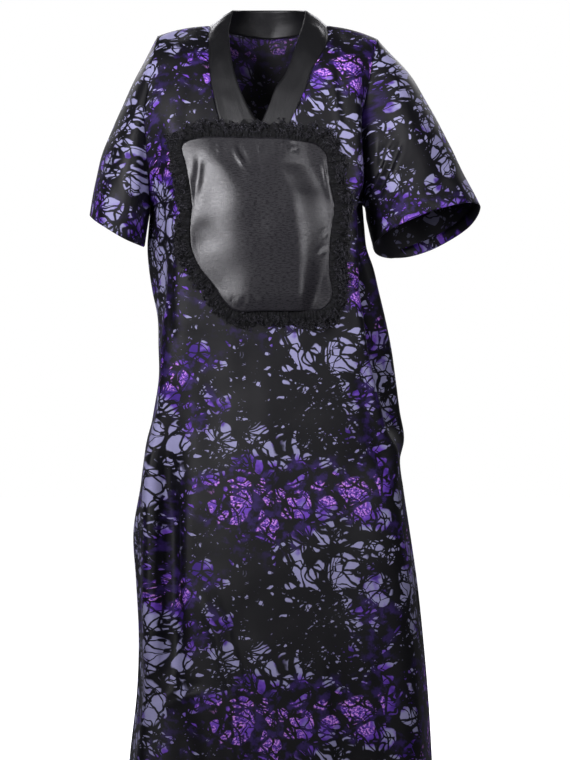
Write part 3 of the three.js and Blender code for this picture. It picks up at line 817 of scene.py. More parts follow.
@dataclass(frozen=True)
class PrintedCloth(Finish):
    """Dark satin crepe with the pebbled print, or its duller wrong side."""

    name: str
    roughness: float = 0.53
    strength: float = 1.0
    sheen: float = 0.012
    gloss: float = 0.22
    threads: float = 6200.0
    slub: float = 0.25
    unprinted: Colour = (0.008, 0.0075, 0.010, 1.0)

    def build(self, effects: SharedEffects) -> Material:
        """Makes the material from the shared effects."""
        material, desk, shader = self.start(self.name)
        uv = desk.add("ShaderNodeUVMap", uv_map=FLAT_CLOTH).outputs[0]
        pattern = desk.effect(effects.print, uv)
        weave = desk.effect(effects.weave, uv, Threads=self.threads, Slub=self.slub)
        rumple = desk.effect(effects.rumple, uv)
        faded = desk.blend(self.strength, self.unprinted, pattern.outputs["Color"])
        desk.put(shader.inputs["Base Color"], desk.blend(1.0, faded, weave.outputs["Shade"], "MULTIPLY"))
        dull = desk.times_plus(pattern.outputs["Ink"], 0.10, self.roughness)
        desk.put(shader.inputs["Roughness"], desk.times_plus(rumple.outputs["Gloss"], 0.16, dull))
        shader.inputs["Specular IOR Level"].default_value = self.gloss
        shader.inputs["Sheen Weight"].default_value = self.sheen
        shader.inputs["Sheen Roughness"].default_value = 0.4
        shader.inputs["Sheen Tint"].default_value = (0.8, 0.8, 0.9, 1.0)
        self.bumps(desk, shader, [(rumple.outputs["Height"], 0.0022, 0.30),
                                  (weave.outputs["Height"], 0.00012, 0.35)])
        return material


@dataclass(frozen=True)
class PlainSatin(Finish):
    """Plain satin, with a fine weave and, where it is slubby, long uneven threads."""

    name: str
    colour: Vector3
    roughness: float
    threads: float
    slub: float
    rumple: float = 0.2
    sheen: float = 0.1
    gloss: float = 0.5
    relief: float = 0.00016
    rumple_size: float = 34.0

    def build(self, effects: SharedEffects) -> Material:
        """Makes the material from the shared effects."""
        material, desk, shader = self.start(self.name)
        uv = desk.add("ShaderNodeUVMap", uv_map=FLAT_CLOTH).outputs[0]
        weave = desk.effect(effects.weave, uv, Threads=self.threads, Slub=self.slub)
        rumple = desk.effect(effects.rumple, uv, Size=self.rumple_size)
        shaded = desk.blend(1.0, (*self.colour, 1.0), weave.outputs["Shade"], "MULTIPLY")
        desk.put(shader.inputs["Base Color"], shaded)
        glossy = desk.times_plus(rumple.outputs["Gloss"], 0.12, self.roughness)
        uneven = desk.minus(weave.outputs["Shade"], 1.0)
        desk.put(shader.inputs["Roughness"], desk.times_plus(uneven, 0.45, glossy))
        shader.inputs["Specular IOR Level"].default_value = self.gloss
        shader.inputs["Sheen Weight"].default_value = self.sheen
        self.bumps(desk, shader, [(rumple.outputs["Height"], 0.0020, self.rumple),
                                  (weave.outputs["Height"], self.relief, 0.6)])
        return material


@dataclass(frozen=True)
class FrayedStrip(Finish):
    """Black gathered strip or loose threads, from a darker to a lighter shade of the colour."""

    name: str
    colour: Vector3 = (0.0024, 0.0024, 0.0030)
    shades: Pair = (0.35, 4.2)

    def build(self) -> Material:
        """Makes the material."""
        material, desk, shader = self.start(self.name)
        tuft = desk.noise(desk.add("ShaderNodeTexCoord").outputs["Object"], 330.0, 3.0, 0.7)
        dark, light = ((*(factor * value for value in self.colour), 1.0) for factor in self.shades)
        desk.put(shader.inputs["Base Color"], desk.blend(desk.step(tuft, 0.42, 0.66), dark, light))
        desk.put(shader.inputs["Roughness"], desk.step(tuft, 0.3, 0.7, 0.62, 0.88))
        shader.inputs["Specular IOR Level"].default_value = 0.18
        shader.inputs["Sheen Weight"].default_value = 0.04
        self.bumps(desk, shader, [(tuft, 0.0016, 0.7)])
        return material


# ---------------- repeated detail
def grown(obj: MeshObject, tree: NodeTree, values: dict[str, object]) -> MeshObject:
    """Runs a Geometry Nodes tree on an object and keeps its result as plain mesh.

    Args:
        obj: the object that the tree starts from.
        tree: the tree.
        values: its inputs, by name.

    Returns:
        The same object.
    """
    modifier = obj.modifiers.new(tree.name, "NODES")
    modifier.node_group = tree
    identifiers = {item.name: item.identifier for item in tree.interface.items_tree if item.in_out == "INPUT"}
    for label, value in values.items():
        modifier[identifiers[label]] = value
    obj.update_tag()
    return baked(obj)


@dataclass
class Scatter:
    """Base of what repeats: a tree that sets small copies on points and makes them plain mesh."""

    @staticmethod
    def start(name: str, inputs: dict[str, tuple[str, object]]) -> tuple[NodeDesk, Node, Node]:
        """Starts a tree with a mesh, a material and its own inputs, as NodeDesk.group does."""
        return NodeDesk.group(name, {"Geometry": ("Geometry", None), **inputs, "Material": ("Material", None)},
                              {"Geometry": "Geometry"}, "GeometryNodeTree")

    @staticmethod
    def finish(desk: NodeDesk, into: Node, out: Node, copies: dict[str, object]) -> NodeTree:
        """Sets the copies, makes them real and gives them their material.

        Args:
            desk: the tree's desk.
            into: its input node.
            out: its output node.
            copies: the points, the shape, its turn and its size.

        Returns:
            The tree.
        """
        placed = desk.add("GeometryNodeInstanceOnPoints", copies)
        real = desk.add("GeometryNodeRealizeInstances", {0: placed.outputs[0]})
        dressed = desk.add("GeometryNodeSetMaterial", {"Geometry": real.outputs[0],
                                                       "Material": into.outputs["Material"]})
        desk.put(out.inputs[0], dressed.outputs[0])
        return desk.tree


@dataclass
class FrayedThreads(Scatter):
    """Short loose threads that stand off a strip of cloth."""

    length: float = 9.0 * MM
    thickness: float = 0.058
    density: float = 60000.0
    lean: float = 0.9
    seed: int = 7

    def tree(self) -> NodeTree:
        """Builds the tree that grows the threads from a mesh with "outward" and "tuft" attributes."""
        desk, into, out = self.start("frayed_threads", {
            "Density": ("Float", self.density), "Length": ("Float", self.length),
            "Thickness": ("Float", self.thickness), "Lean": ("Float", self.lean), "Seed": ("Int", self.seed)})
        seed = into.outputs["Seed"]
        tuft = desk.add("GeometryNodeInputNamedAttribute", {"Name": "tuft"}, data_type="FLOAT").outputs[0]
        crowding = desk.times(into.outputs["Density"], desk.math("POWER", tuft, 2.2))
        scatter = desk.add("GeometryNodeDistributePointsOnFaces", {
            "Mesh": into.outputs["Geometry"], "Density": crowding, "Seed": seed})
        outward = desk.add("GeometryNodeInputNamedAttribute", {"Name": "outward"}, data_type="FLOAT_VECTOR")
        wild = desk.add("FunctionNodeRandomValue", {"Min": (-1.0, -1.0, -1.0), "Max": (1.0, 1.0, 1.0),
                                                    "Seed": seed}, data_type="FLOAT_VECTOR")
        leaning = desk.scaled(outward.outputs[0], into.outputs["Lean"])
        mixed = desk.vector("ADD", desk.scaled(wild.outputs[0], 0.95), leaning)
        aim = desk.vector("ADD", mixed, desk.scaled(scatter.outputs["Normal"], 0.50))
        turn = desk.add("FunctionNodeAlignRotationToVector", {"Vector": aim}, axis="Z")
        size = desk.add("FunctionNodeRandomValue", {"Seed": seed}, data_type="FLOAT")
        size.inputs[2].default_value, size.inputs[3].default_value = 0.45, 1.15
        tall = desk.times(size.outputs[1], tuft)
        line = desk.add("GeometryNodeCurvePrimitiveBezierSegment", {
            "Resolution": 6, "Start": (0, 0, 0), "Start Handle": (0.75, 0.0, 0.25),
            "End Handle": (-0.65, 0.55, 0.95), "End": (0.35, -0.20, 0.62)})
        ring = desk.add("GeometryNodeCurvePrimitiveCircle", {
            "Resolution": 3, "Radius": into.outputs["Thickness"]}, mode="RADIUS")
        thread = desk.add("GeometryNodeCurveToMesh", {
            "Curve": line.outputs[0], "Profile Curve": ring.outputs[0], "Fill Caps": True})
        scale = desk.times(tall, into.outputs["Length"])
        sized = desk.add("ShaderNodeCombineXYZ", dict.fromkeys(range(3), scale))
        return self.finish(desk, into, out, {
            "Points": scatter.outputs["Points"], "Instance": thread.outputs[0],
            "Rotation": turn.outputs[0], "Scale": sized.outputs[0]})


@dataclass
class StitchRow(Scatter):
    """A row of small stitches along a line."""

    pitch: float = 3.4 * MM
    length: float = 2.5 * MM
    thickness: float = 0.34 * MM

    def tree(self) -> NodeTree:
        """Builds the tree that lays stitches along the edges of a mesh."""
        desk, into, out = self.start("stitch_row", {
            "Pitch": ("Float", self.pitch), "Length": ("Float", self.length),
            "Thickness": ("Float", self.thickness)})
        path = desk.add("GeometryNodeMeshToCurve", {"Mesh": into.outputs["Geometry"]})
        spaced = desk.add("GeometryNodeResampleCurve", {
            "Curve": path.outputs[0], "Length": into.outputs["Pitch"]}, mode="LENGTH")
        tangent = desk.add("GeometryNodeInputTangent").outputs[0]
        turn = desk.add("FunctionNodeAlignRotationToVector", {"Vector": tangent}, axis="Z")
        bead = desk.add("GeometryNodeMeshUVSphere", {"Segments": 5, "Rings": 4, "Radius": 0.5})
        sized = desk.add("ShaderNodeCombineXYZ", {
            0: into.outputs["Thickness"], 1: into.outputs["Thickness"], 2: into.outputs["Length"]})
        return self.finish(desk, into, out, {
            "Points": spaced.outputs[0], "Instance": bead.outputs[0], "Rotation": turn.outputs[0],
            "Scale": sized.outputs[0]})

    def along(self, name: str, points: Points, tree: NodeTree, material: Material) -> MeshObject:
        """Lays the stitches along a line.

        Args:
            name: the piece's name.
            points: the line, in millimetres.
            tree: the stitch tree.
            material: the thread's finish.

        Returns:
            The stitches as one mesh object.
        """
        mesh = bpy.data.meshes.new(name)
        mesh.from_pydata((np.asarray(points) * MM).tolist(), [(i, i + 1) for i in range(len(points) - 1)], [])
        return grown(placed(name, mesh), tree, {
            "Pitch": self.pitch, "Length": self.length, "Thickness": self.thickness, "Material": material})


# ---------------- garment: shared form
@dataclass
class SleeveForm:
    """The sewn armhole ring and the open hem ring of one sleeve."""

    top: Pair
    mid_x: float
    low_x: float
    front: float
    back: float
    hem_outer: Pair
    hem_inner: Pair
    hem_front: float
    hem_back: float
    hem_front_lift: float
    hem_back_lift: float
    top_bulge: list[float]
    front_bulge: list[float]
    hem_y: float = 4.0

    def armhole(self, degrees: float) -> Points:
        """A point of the armhole ring: 0 is the shoulder, 90 the front, 180 the underarm."""
        angle = math.radians(degrees)
        drop, forward = (1 - math.cos(angle)) / 2, math.sin(angle)
        reach = self.front if forward > 0 else self.back
        x = list_at([self.top[0], self.mid_x, self.low_x], drop)
        return np.array([x, 5 * drop - reach * forward, mix(self.top[1], UNDERARM_Z, drop)])

    def hem(self, degrees: float) -> Points:
        """A point of the hem ring, by the same angle."""
        angle = math.radians(degrees)
        outward, forward = (1 + math.cos(angle)) / 2, math.sin(angle)
        ahead = forward > 0
        reach = self.hem_front if ahead else self.hem_back
        rise = self.hem_front_lift if ahead else self.hem_back_lift
        z = mix(self.hem_inner[1], self.hem_outer[1], outward) + rise * abs(forward)
        return np.array([mix(self.hem_inner[0], self.hem_outer[0], outward), self.hem_y - reach * forward, z])


def rows_of(names: str, values: list[tuple]) -> Table:
    """Makes a table of its column names and rows, where a shorter row leaves out the last columns."""
    return [dict(zip(names.split(), row)) for row in values]


@dataclass
class WornForm:
    """The garment's worn form: section tables, neckline curves and the lines where pieces are sewn."""

    armhole_steps: int = 12
    columns: tuple[int, ...] = (3, 3, 3, 3)
    back_columns: tuple[int, ...] = (4, 4, 4)
    shoulder_bow: float = 4.0
    band_roll: float = 1.6
    ring_levels: tuple[float, ...] = (
        -335, -370, -402, -440, -485, -530, -585, -640, -690, -722, -765, -840,
        -920, -1010, -1105, -1200, -1295, HEM_Z)

    def __post_init__(self) -> None:
        """Sets up the tables and the neckline curves."""
        self.centre = rows_of("z x front back", [
            (-60, -12, -60, 84), (-166, -15, -98, 104), (-300, -14, -115, 98), (-440, 0, -112, 90),
            (-600, 6, -109, 97), (-850, 9, -115, 109), (-1100, 12, -126, 121), (HEM_Z, 15, -140, 138)])
        names = "z crest_x crest_y valley_x valley_y edge_x edge_y"
        self.sides = {
            "left": rows_of(names, [
                (-18, -150, 0, -170, 0), (-24, -150, -20, -170, -22),
                (-60, -150, -60, -172, -58), (-159, -160, -94, -183, -86),
                (-259, -161, -102, -178, -74), (-300, -161, -103, -176, -62, -198, 5),
                (-370, -161, -101, -176, -54, -204, 12), (-440, -163, -97, -175, -54, -196, 12),
                (-485, -166, -94, -178, -50, -187, 12), (-585, -174, -85, -182, -50, -185, 8),
                (-664, -180, -78, -190, -44, -198, 8), (-765, -190, -76, -204, -42, -215, 6),
                (-850, -194, -80, -213, -44, -227, 0), (-990, -196, -82, -208, -46, -218, 0),
                (-1130, -200, -88, -212, -48, -222, 0), (-1220, -210, -92, -224, -50, -234, 0),
                (HEM_Z, -218, -98, -236, -54, -247, 0)]),
            "right": rows_of(names, [
                (-22, 128, 0, 152, 0), (-28, 129, -18, 152, -18),
                (-60, 134, -56, 154, -48), (-105, 141, -76, 152, -60),
                (-159, 144, -88, 150, -68), (-259, 147, -97, 152, -64),
                (-300, 147, -98, 151, -60, 154, 5), (-370, 146, -98, 151, -48, 161, 12),
                (-402, 144, -98, 151, -46, 172, 12), (-440, 143, -96, 152, -46, 181, 14),
                (-530, 160, -90, 169, -48, 201, 14), (-640, 190, -68, 197, -42, 216, 12),
                (-690, 204, -56, 209, -38, 223, 10), (-722, 205, -54, 212, -30, 216, 6),
                (-765, 202, -66, 215, -36, 221, 0), (-920, 216, -76, 235, -40, 244, 0),
                (-1130, 232, -86, 254, -46, 264, 0), (HEM_Z, 242, -96, 266, -52, 277, 0)]),
        }
        self.sleeves = {
            "left": SleeveForm((-186, -18), -205, -198, 76, 72, (-299, -314), (-209, -366), 96, 90, -9, 10,
                               [0, 9, 15, 18, 13, 0], [0, 8, 10, 8, 3, 0]),
            "right": SleeveForm((178, -23), 150, 154, 54, 76, (350, -303), (171, -366), 88, 88, 20, -38,
                                [0, 19, 18, 12, 5, 0], [0, 22, 24, 16, 6, 0]),
        }
        self.band_outer = {
            "left": SmoothCurve([(-100, 0, -1.7), (-101, -37, -34), (-97.6, -74, -94), (-90.7, -88, -127),
                                 (-80.6, -99, -168), (-50, -109, -235), (-17, -114, -290)]),
            "right": SmoothCurve([(95, 0, -1.3), (95, -37, -34), (79, -62, -65), (65.4, -76, -90),
                                  (57.5, -86, -118), (42, -96, -150), (31, -102, -178), (-17, -114, -290)]),
        }
        self.band_inner = {
            "left": SmoothCurve([(-61.8, 5, 25.6), (-67.6, -22, -9), (-66.6, -42, -32), (-59.7, -68, -77),
                                 (-48.4, -86, -114), (-34.2, -95, -145), (-15.7, -100, -175)]),
            "right": SmoothCurve([(59.8, 5, 25), (54.7, -18, 1), (43.6, -48, -37), (34.2, -66, -67),
                                  (24.9, -77, -90), (10.8, -86, -110), (-0.2, -94, -139), (-15.7, -100, -175)]),
        }
        self.neck_back = {"outer_y": 76.0, "outer_z": -15.0, "inner_y": 62.0, "inner_z": 33.0}
        self.front_troughs = [(-165, -650, -158, -1090, 9, 17), (-186, -1085, -168, -1185, 8, 26),
                              (-92, -950, -44, -1120, 6, 15), (-44, -1120, -54, -1400, 9, 18),
                              (112, -1120, 132, -1400, 8, 24)]
        self.back_troughs = [(-58, -470, -76, -1400, 9, 22), (72, -600, 92, -1400, 10, 24),
                             (6, -900, 10, -1400, 7, 20), (-118, -110, -150, -290, 7, 16),
                             (112, -120, 140, -300, 7, 16)]
        self.sleeve_troughs = [(207, -168, 164, -288, 14, 14), (300, -205, 266, -330, 6, 18),
                               (-262, -225, -243, -350, 5, 16)]

    @staticmethod
    def depth(troughs: list[tuple], x: float, z: float) -> float:
        """Depth of the troughs at a place seen from the front."""
        total = 0.0
        for x1, z1, x2, z2, deep, width in troughs:
            dx, dz = x2 - x1, z2 - z1
            t = min(max(((x - x1) * dx + (z - z1) * dz) / (dx * dx + dz * dz), 0), 1)
            total += deep * math.exp(-((math.hypot(x - x1 - t * dx, z - z1 - t * dz) / width) ** 2))
        return total

    def step_share(self, step: float) -> float:
        """Share of the neckline that belongs to a step down the armhole."""
        turned = (1 - math.cos(math.pi * step / self.armhole_steps)) / 2
        return mix(step / self.armhole_steps, turned, 0.25)

    def shoulder(self, side: str, share: float) -> Points:
        """A point of the sewn shoulder line, from the neckband out to the armhole."""
        point = self.band_outer[side].at_share(0) * (1 - share) + self.sleeves[side].armhole(0) * share
        point[2] += self.shoulder_bow * 4 * share * (1 - share)
        return point

    def read(self, z: float) -> tuple[float, float, float]:
        """The centre line at a height: sideways drift, front and back."""
        return tuple(read_table(self.centre, name, z) for name in ("x", "front", "back"))

    def edge(self, side: str, z: float) -> Points:
        """The side seam at a height."""
        table = self.sides[side]
        return np.array([read_table(table, "edge_x", z), read_table(table, "edge_y", z), z])

    def front_stations(self, side: str, inner: Points, edge: Points) -> Points:
        """Stations of a front row from the inside out."""
        table, z = self.sides[side], edge[2]
        crest = np.array([read_table(table, "crest_x", z), read_table(table, "crest_y", z), 0.0])
        valley = np.array([read_table(table, "valley_x", z), read_table(table, "valley_y", z), 0.0])
        mid = np.array([mix(inner[0], crest[0], 0.52), mix(inner[1], crest[1], 0.3) - 3, 0.0])
        for station in (mid, crest, valley):
            station[2] = mix(inner[2], edge[2], (station[0] - inner[0]) / (edge[0] - inner[0]))
        return np.array([inner, mid, crest, valley, edge])

    def pressed(self, row: Points, troughs: list[tuple], inward: float) -> Points:
        """A row with the broad troughs pressed into it, but for its two ends."""
        row = row.copy()
        for point in row[1:-1]:
            point[1] += inward * self.depth(troughs, point[0], point[2])
        return row

    def front_upper(self, side: str) -> list[Points]:
        """Front rows beside the neckline, from the shoulder down to just above the underarm."""
        across = sum(self.columns)
        rows = [np.array([self.shoulder(side, k / across) for k in range(across + 1)])]
        for step in range(1, self.armhole_steps):
            inner = self.band_outer[side].at_share(self.step_share(step))
            edge = self.sleeves[side].armhole(180 * step / self.armhole_steps)
            row = SmoothCurve(self.front_stations(side, inner, edge)).through(self.columns)
            rows.append(self.pressed(row, self.front_troughs, 1))
        return rows

    def front_lower(self) -> list[Points]:
        """Front rows right across, from the underarm to the hem."""
        rows = []
        for z in [UNDERARM_Z, *self.ring_levels]:
            x, front, _ = self.read(z)
            centre = self.band_outer["left"].at_share(1) if z == UNDERARM_Z else np.array([x, front, z])
            left = self.front_stations("left", centre, self.edge("left", z))[::-1]
            right = self.front_stations("right", centre, self.edge("right", z))
            stations = np.concatenate([left, right[1:]])
            row = SmoothCurve(stations).through([*self.columns[::-1], *self.columns])
            rows.append(self.pressed(row, self.front_troughs, 1))
        return rows

    def back_stations(self, side: str, share: float, edge: Points, centre: Points) -> Points:
        """Stations of a back row on one side, from the centre line out."""
        shoulder = self.band_outer[side].at_share(0)
        surface = np.array([mix(centre[0], edge[0], 0.5), mix(edge[1], centre[1], 0.93),
                            mix(centre[2], edge[2], 0.5)])
        settle = float(smooth(share, 0, 0.22))
        neck = shoulder * (1 - settle) + surface * settle
        crest = np.array([mix(neck[0], edge[0], 0.62), mix(edge[1], neck[1], mix(0.6, 0.78, settle)),
                          mix(neck[2], edge[2], 0.62)])
        return np.array([centre, neck, crest, edge])

    def back_row(self, share: float, edges: dict[str, Points], centre: Points) -> Points:
        """A back row right across."""
        left = self.back_stations("left", share, edges["left"], centre)[::-1]
        right = self.back_stations("right", share, edges["right"], centre)
        curve = SmoothCurve(np.concatenate([left, right[1:]]))
        row = curve.through([*self.back_columns[::-1], *self.back_columns])
        return self.pressed(row, self.back_troughs, -1)

    def back_top(self) -> Points:
        """The top edge of the back: shoulder line, back neck, shoulder line."""
        across = sum(self.back_columns[1:])
        left, right = (np.array([self.shoulder(side, k / across) for k in range(across + 1)])
                       for side in SIDES)
        y, z = self.neck_back["outer_y"], self.neck_back["outer_z"]
        beside = [np.array([end[0] * 0.55, y * 0.66, z * 0.66]) for end in (left[0], right[0])]
        curve = SmoothCurve([left[0], beside[0], (0, y, z), beside[1], right[0]])
        count = 2 * self.back_columns[0]
        inside = np.array([curve.at_share(k / count) for k in range(1, count)])
        return np.concatenate([left[::-1], inside, right])

    def back_rows(self) -> list[Points]:
        """All the back's rows, from the top edge to the hem."""
        rows = [self.back_top()]
        for step in range(1, self.armhole_steps + 1):
            share = self.step_share(step)
            z = mix(self.neck_back["outer_z"], UNDERARM_Z, share)
            x, _, back = self.read(z)
            settle = float(smooth(share, 0, 0.2))
            centre = np.array([mix(0, x, share), mix(self.neck_back["outer_y"], back, settle), z])
            degrees = -180 * step / self.armhole_steps
            edges = {side: sleeve.armhole(degrees) for side, sleeve in self.sleeves.items()}
            rows.append(self.back_row(share, edges, centre))
        for z in self.ring_levels:
            x, _, back = self.read(z)
            edges = {side: self.edge(side, z) for side in self.sides}
            rows.append(self.back_row(1, edges, np.array([x, back, z])))
        return rows


def flat_coordinates(points: Points, start_u: np.ndarray | float, z_from: int | None = None) -> Points:
    """Flat cloth coordinates of a grid: length along each row, and length down the columns.

    Args:
        points: the grid, in millimetres.
        start_u: the first column's sideways coordinate, one for all rows or one for each.
        z_from: the row from which lengths down are measured both ways; the first row if left out.

    Returns:
        The coordinates in metres, rows by columns by two.
    """
    u = running(distances(points[..., :2], 1))
    u += np.broadcast_to(np.asarray(start_u, float), (len(points),))[:, None]
    steps = distances(points)
    steps = steps.mean(axis=1, keepdims=True) * 0.5 + steps * 0.5
    v = running(steps.T).T
    if z_from is not None:
        v = v - v[z_from]
    return np.stack([u, -v], axis=-1) * MM


# ---------------- garment: body
@dataclass(frozen=True)
class Sewing:
    """What the printed pieces are sewn from: cloth, thread and stitches."""

    face: Material
    reverse: Material
    thread: Material
    stitches: StitchRow
    stitch_tree: NodeTree

    def finish(self, obj: MeshObject, node: str, line: Points, cut: Pair, fill: float,
               rests_on: str) -> None:
        """Args:
            obj: the open sheet.
            node: the solid that it stands for, which also names it.
            line: the line of its hem stitches, in millimetres.
            cut: its flat width and height, in metres; not used.
            fill: the share of that rectangle that is cloth; not used.
            rests_on: the piece that it hangs from; not used.
        """
        thickened(obj, CLOTH_THICKNESS, self.face, self.reverse)
        obj.name = f"{node}_cloth"
        as_piece(obj, node)
        row = self.stitches.along(f"{node}_hem_stitches", line, self.stitch_tree, self.thread)
        as_piece(row)


def turned_under(uvs: Points, rows: int, turn: float) -> Points:
    """Flat coordinates with rows added for a hem that is turned under by some millimetres."""
    under = np.repeat(uvs[-1:], rows, axis=0)
    under[..., 1] -= np.linspace(MM, turn * MM, rows)[:, None]
    return np.concatenate([uvs, under])


FRONT_FOLDS = [
    Fold([(-178, -640), (-180, -760), (-180, -960), (-172, -1120)], 23, 21, TUCK, 0.25),
    Fold([(-162, -740), (-160, -860), (-158, -1000), (-160, -1120)], 17, 15, fade=0.25),
    Fold([(-196, -1128), (-158, -1100), (-104, -1084)], 5, 12, TUCK, 0.3),
    Fold([(-144, -760), (-142, -880), (-134, -1020)], 5, 14, RIDGE),
    Fold([(-112, -905), (-78, -996), (-52, -1090), (-34, -1225), (-30, -1380)], 12, 15, TUCK, 0.2),
    Fold([(-96, -900), (-60, -1000), (-36, -1100), (-16, -1230)], 5, 12, RIDGE),
    Fold([(-150, -1090), (-126, -1240), (-116, -1380)], 10, 24),
    Fold([(150, -700), (120, -860), (108, -1010)], 3, 26),
    Fold([(86, -980), (104, -1160), (112, -1380)], 4, 20, TUCK),
    Fold([(176, -960), (190, -1160), (200, -1380)], 4, 16),
    Fold([(-128, -480), (-96, -600), (-92, -740)], 3, 24),
    Fold([(108, -470), (74, -560), (66, -690)], 3, 22),
    Fold([(-8, -520), (2, -640), (-2, -780)], 2.2, 26, RIDGE),
    Fold([(-160, -235), (-160, -300), (-160, -400), (-164, -540)], 13, 10, fade=0.2),
    Fold([(128, -330), (124, -440), (136, -540)], 4, 10),
    Fold([(-118, -60), (-128, -130), (-146, -200)], 3, 12),
    Fold([(104, -60), (112, -130), (124, -210)], 3.5, 10, TUCK),
    Fold([(140, -560), (172, -680), (196, -760)], 5, 12),
    Fold([(152, -260), (158, -340), (162, -440), (177, -530), (201, -640), (214, -710)], 17, 13,
         fade=0.12),
    Fold([(144, -200), (148, -330), (146, -440), (162, -540)], 3, 6, RIDGE, 0.2),
]
BACK_FOLDS = [
    Fold([(-150, -300), (-120, -480), (-112, -700)], 5, 16),
    Fold([(140, -320), (118, -520), (122, -760)], 5, 16),
    Fold([(-30, -220), (-20, -420), (-34, -640)], 3, 22, RIDGE),
    Fold([(-132, -800), (-146, -1050), (-158, -1380)], 7, 18),
    Fold([(44, -860), (50, -1100), (48, -1380)], 5, 16, TUCK),
    Fold([(-24, -980), (-32, -1180), (-34, -1380)], 5, 16, RIDGE),
    Fold([(150, -800), (166, -1060), (178, -1380)], 7, 18),
    Fold([(-90, -60), (-60, -120), (-10, -150), (50, -120), (86, -66)], 3, 14),
]


@dataclass
class BodyPanels:
    """The front and back panels, sewn at the shoulders and the sides, with their turned-up hem.

    The hem's path is steps inwards and upwards from its fold, in millimetres. Cloth is free to fold
    from seam_reach off a seam on, and from shoulder_rows below the shoulder on.
    """

    form: WornForm
    fineness: float = 5.6
    across: int = 4
    hem_turn: float = 22.0
    hem_path: Pairs = ((0.5, -0.6), (1.5, -0.4), (1.9, 1.0), (1.9, 8.0), (1.9, 15.0))
    hem_centre: float = 15.0
    stitch_drop: float = 3.0
    stitch_proud: float = 0.25
    seam_reach: float = 14.0
    shoulder_rows: int = 6
    back_middle: float = 311.0
    print_start: Pair = (0.10, 0.30)
    cut: Pair = (0.62, 1.42)
    fill: float = 0.88
    held_flat: tuple[float, float, float, float] = (-150, 125, -490, -195)

    def _steps(self, rows: list[Points]) -> list[int]:
        """Number of fine rows between each two rows."""
        middles = np.array([row.mean(axis=0) for row in rows])
        return [max(2, round(gap / self.fineness)) for gap in distances(middles)]

    def _hem_rows(self, points: Points) -> Points:
        """Rows of the hem that is folded to the inside and turned up.

        Args:
            points: the fine rows that end at the hem.

        Returns:
            The extra rows, from the fold upwards.
        """
        hem = points[-1]
        outward = unit(np.cross(np.gradient(hem, axis=0), [0, 0, 1.0]))
        if np.mean(np.sum(outward * (hem - [self.hem_centre, 0, hem[0][2]]), axis=1)) < 0:
            outward = -outward
        rows = []
        for inset, rise in (*self.hem_path, (1.7, self.hem_turn)):
            row = hem - outward * inset
            row[:, 2] = hem[:, 2] + rise
            rows.append(row)
        return np.array(rows)

    def _add(self, cloth: Cloth, grid: Points, uvs: Points, free: np.ndarray,
             way: slice = slice(None)) -> Points:
        """Adds a grid and its turned hem to a sheet.

        Args:
            cloth: the sheet.
            grid: its fine rows.
            uvs: their flat coordinates.
            free: how freely the cloth may fold at each point.
            way: the order of the columns.

        Returns:
            The row that the hem stitches run along.
        """
        hem = self._hem_rows(grid)
        loose = np.concatenate([free, np.repeat(free[-1:], len(hem), axis=0)])
        cloth.add_grid(np.concatenate([grid, hem])[:, way], turned_under(uvs, len(hem), self.hem_turn)[:, way],
                       loose[:, way])
        column = 0 if way.step else grid.shape[1] // 2
        level = HEM_Z + self.hem_turn - self.stitch_drop
        return grid[int(np.argmin(np.abs(grid[:, column, 2] - level)))]

    def front(self) -> tuple[MeshObject, Points]:
        """Makes the front.

        Returns:
            The open sheet and the line of its hem stitches.
        """
        lower_rows = self.form.front_lower()
        lower = refined_across(np.array(lower_rows), self.across)
        half = (len(lower_rows[0]) - 1) // 2 * self.across
        uppers = {side: refined_across(np.array(self.form.front_upper(side)), self.across) for side in SIDES}
        talls = {"left": np.concatenate([uppers["left"], lower[:, half::-1]]),
                 "right": np.concatenate([uppers["right"], lower[:, half:]])}
        counts = self._steps(list(talls["left"]))
        underarm = sum(counts[: len(uppers["left"])])
        grids = {side: refined(tall, counts) for side, tall in talls.items()}
        joined = (grids["left"][underarm:, 0] + grids["right"][underarm:, 0]) / 2
        cloth = Cloth()
        lines = []
        for side, grid in grids.items():
            grid[underarm:, 0] = joined
            sign = SIDES[side]
            starts = np.abs(grid[:, 0, 0] + 14 * smooth(-grid[:, 0, 2], 290, 330))
            starts[underarm:] = 0
            uvs = flat_coordinates(grid, starts, underarm)
            uvs[..., 0] *= sign
            uvs -= np.array(self.print_start)
            free = smooth(self._from_edge(grid), 0, self.seam_reach)
            free[:underarm] *= smooth(np.arange(underarm), 0, self.shoulder_rows)[:, None]
            free[:underarm] *= smooth(self._from_start(grid[:underarm]), 0, self.seam_reach)
            lines.append(self._add(cloth, grid, uvs, free, slice(None, None, sign)))
        obj = cloth.build("front", (0, 40, -600))
        self._fold(obj, cloth, FRONT_FOLDS, 2.0, 3.1, self.held_flat)
        return obj, np.concatenate([lines[0][::-1], lines[1][1:]])

    def back(self) -> tuple[MeshObject, Points]:
        """Makes the back.

        Returns:
            The open sheet and the line of its hem stitches.
        """
        coarse = refined_across(np.array(self.form.back_rows()), self.across)
        grid = refined(coarse, self._steps(list(coarse)))
        middle = grid.shape[1] // 2
        widths = distances(grid[..., :2], 1)[:, :middle].sum(axis=1)
        uvs = flat_coordinates(grid, -widths + self.back_middle)
        free = smooth(self._from_edge(grid), 0, self.seam_reach)
        free *= smooth(self._from_start(grid), 0, self.seam_reach)
        free *= smooth(np.arange(len(grid)), 0, self.shoulder_rows)[:, None]
        cloth = Cloth()
        line = self._add(cloth, grid, uvs, free)
        obj = cloth.build("back", (0, -40, -600))
        self._fold(obj, cloth, BACK_FOLDS, 2.4, 8.4)
        return obj, line

    @staticmethod
    def _from_start(grid: Points) -> np.ndarray:
        """Length along each row from its first point."""
        return running(distances(grid, 1))

    @classmethod
    def _from_edge(cls, grid: Points) -> np.ndarray:
        """Length along each row from its last point."""
        return cls._from_start(grid[:, ::-1])[:, ::-1]

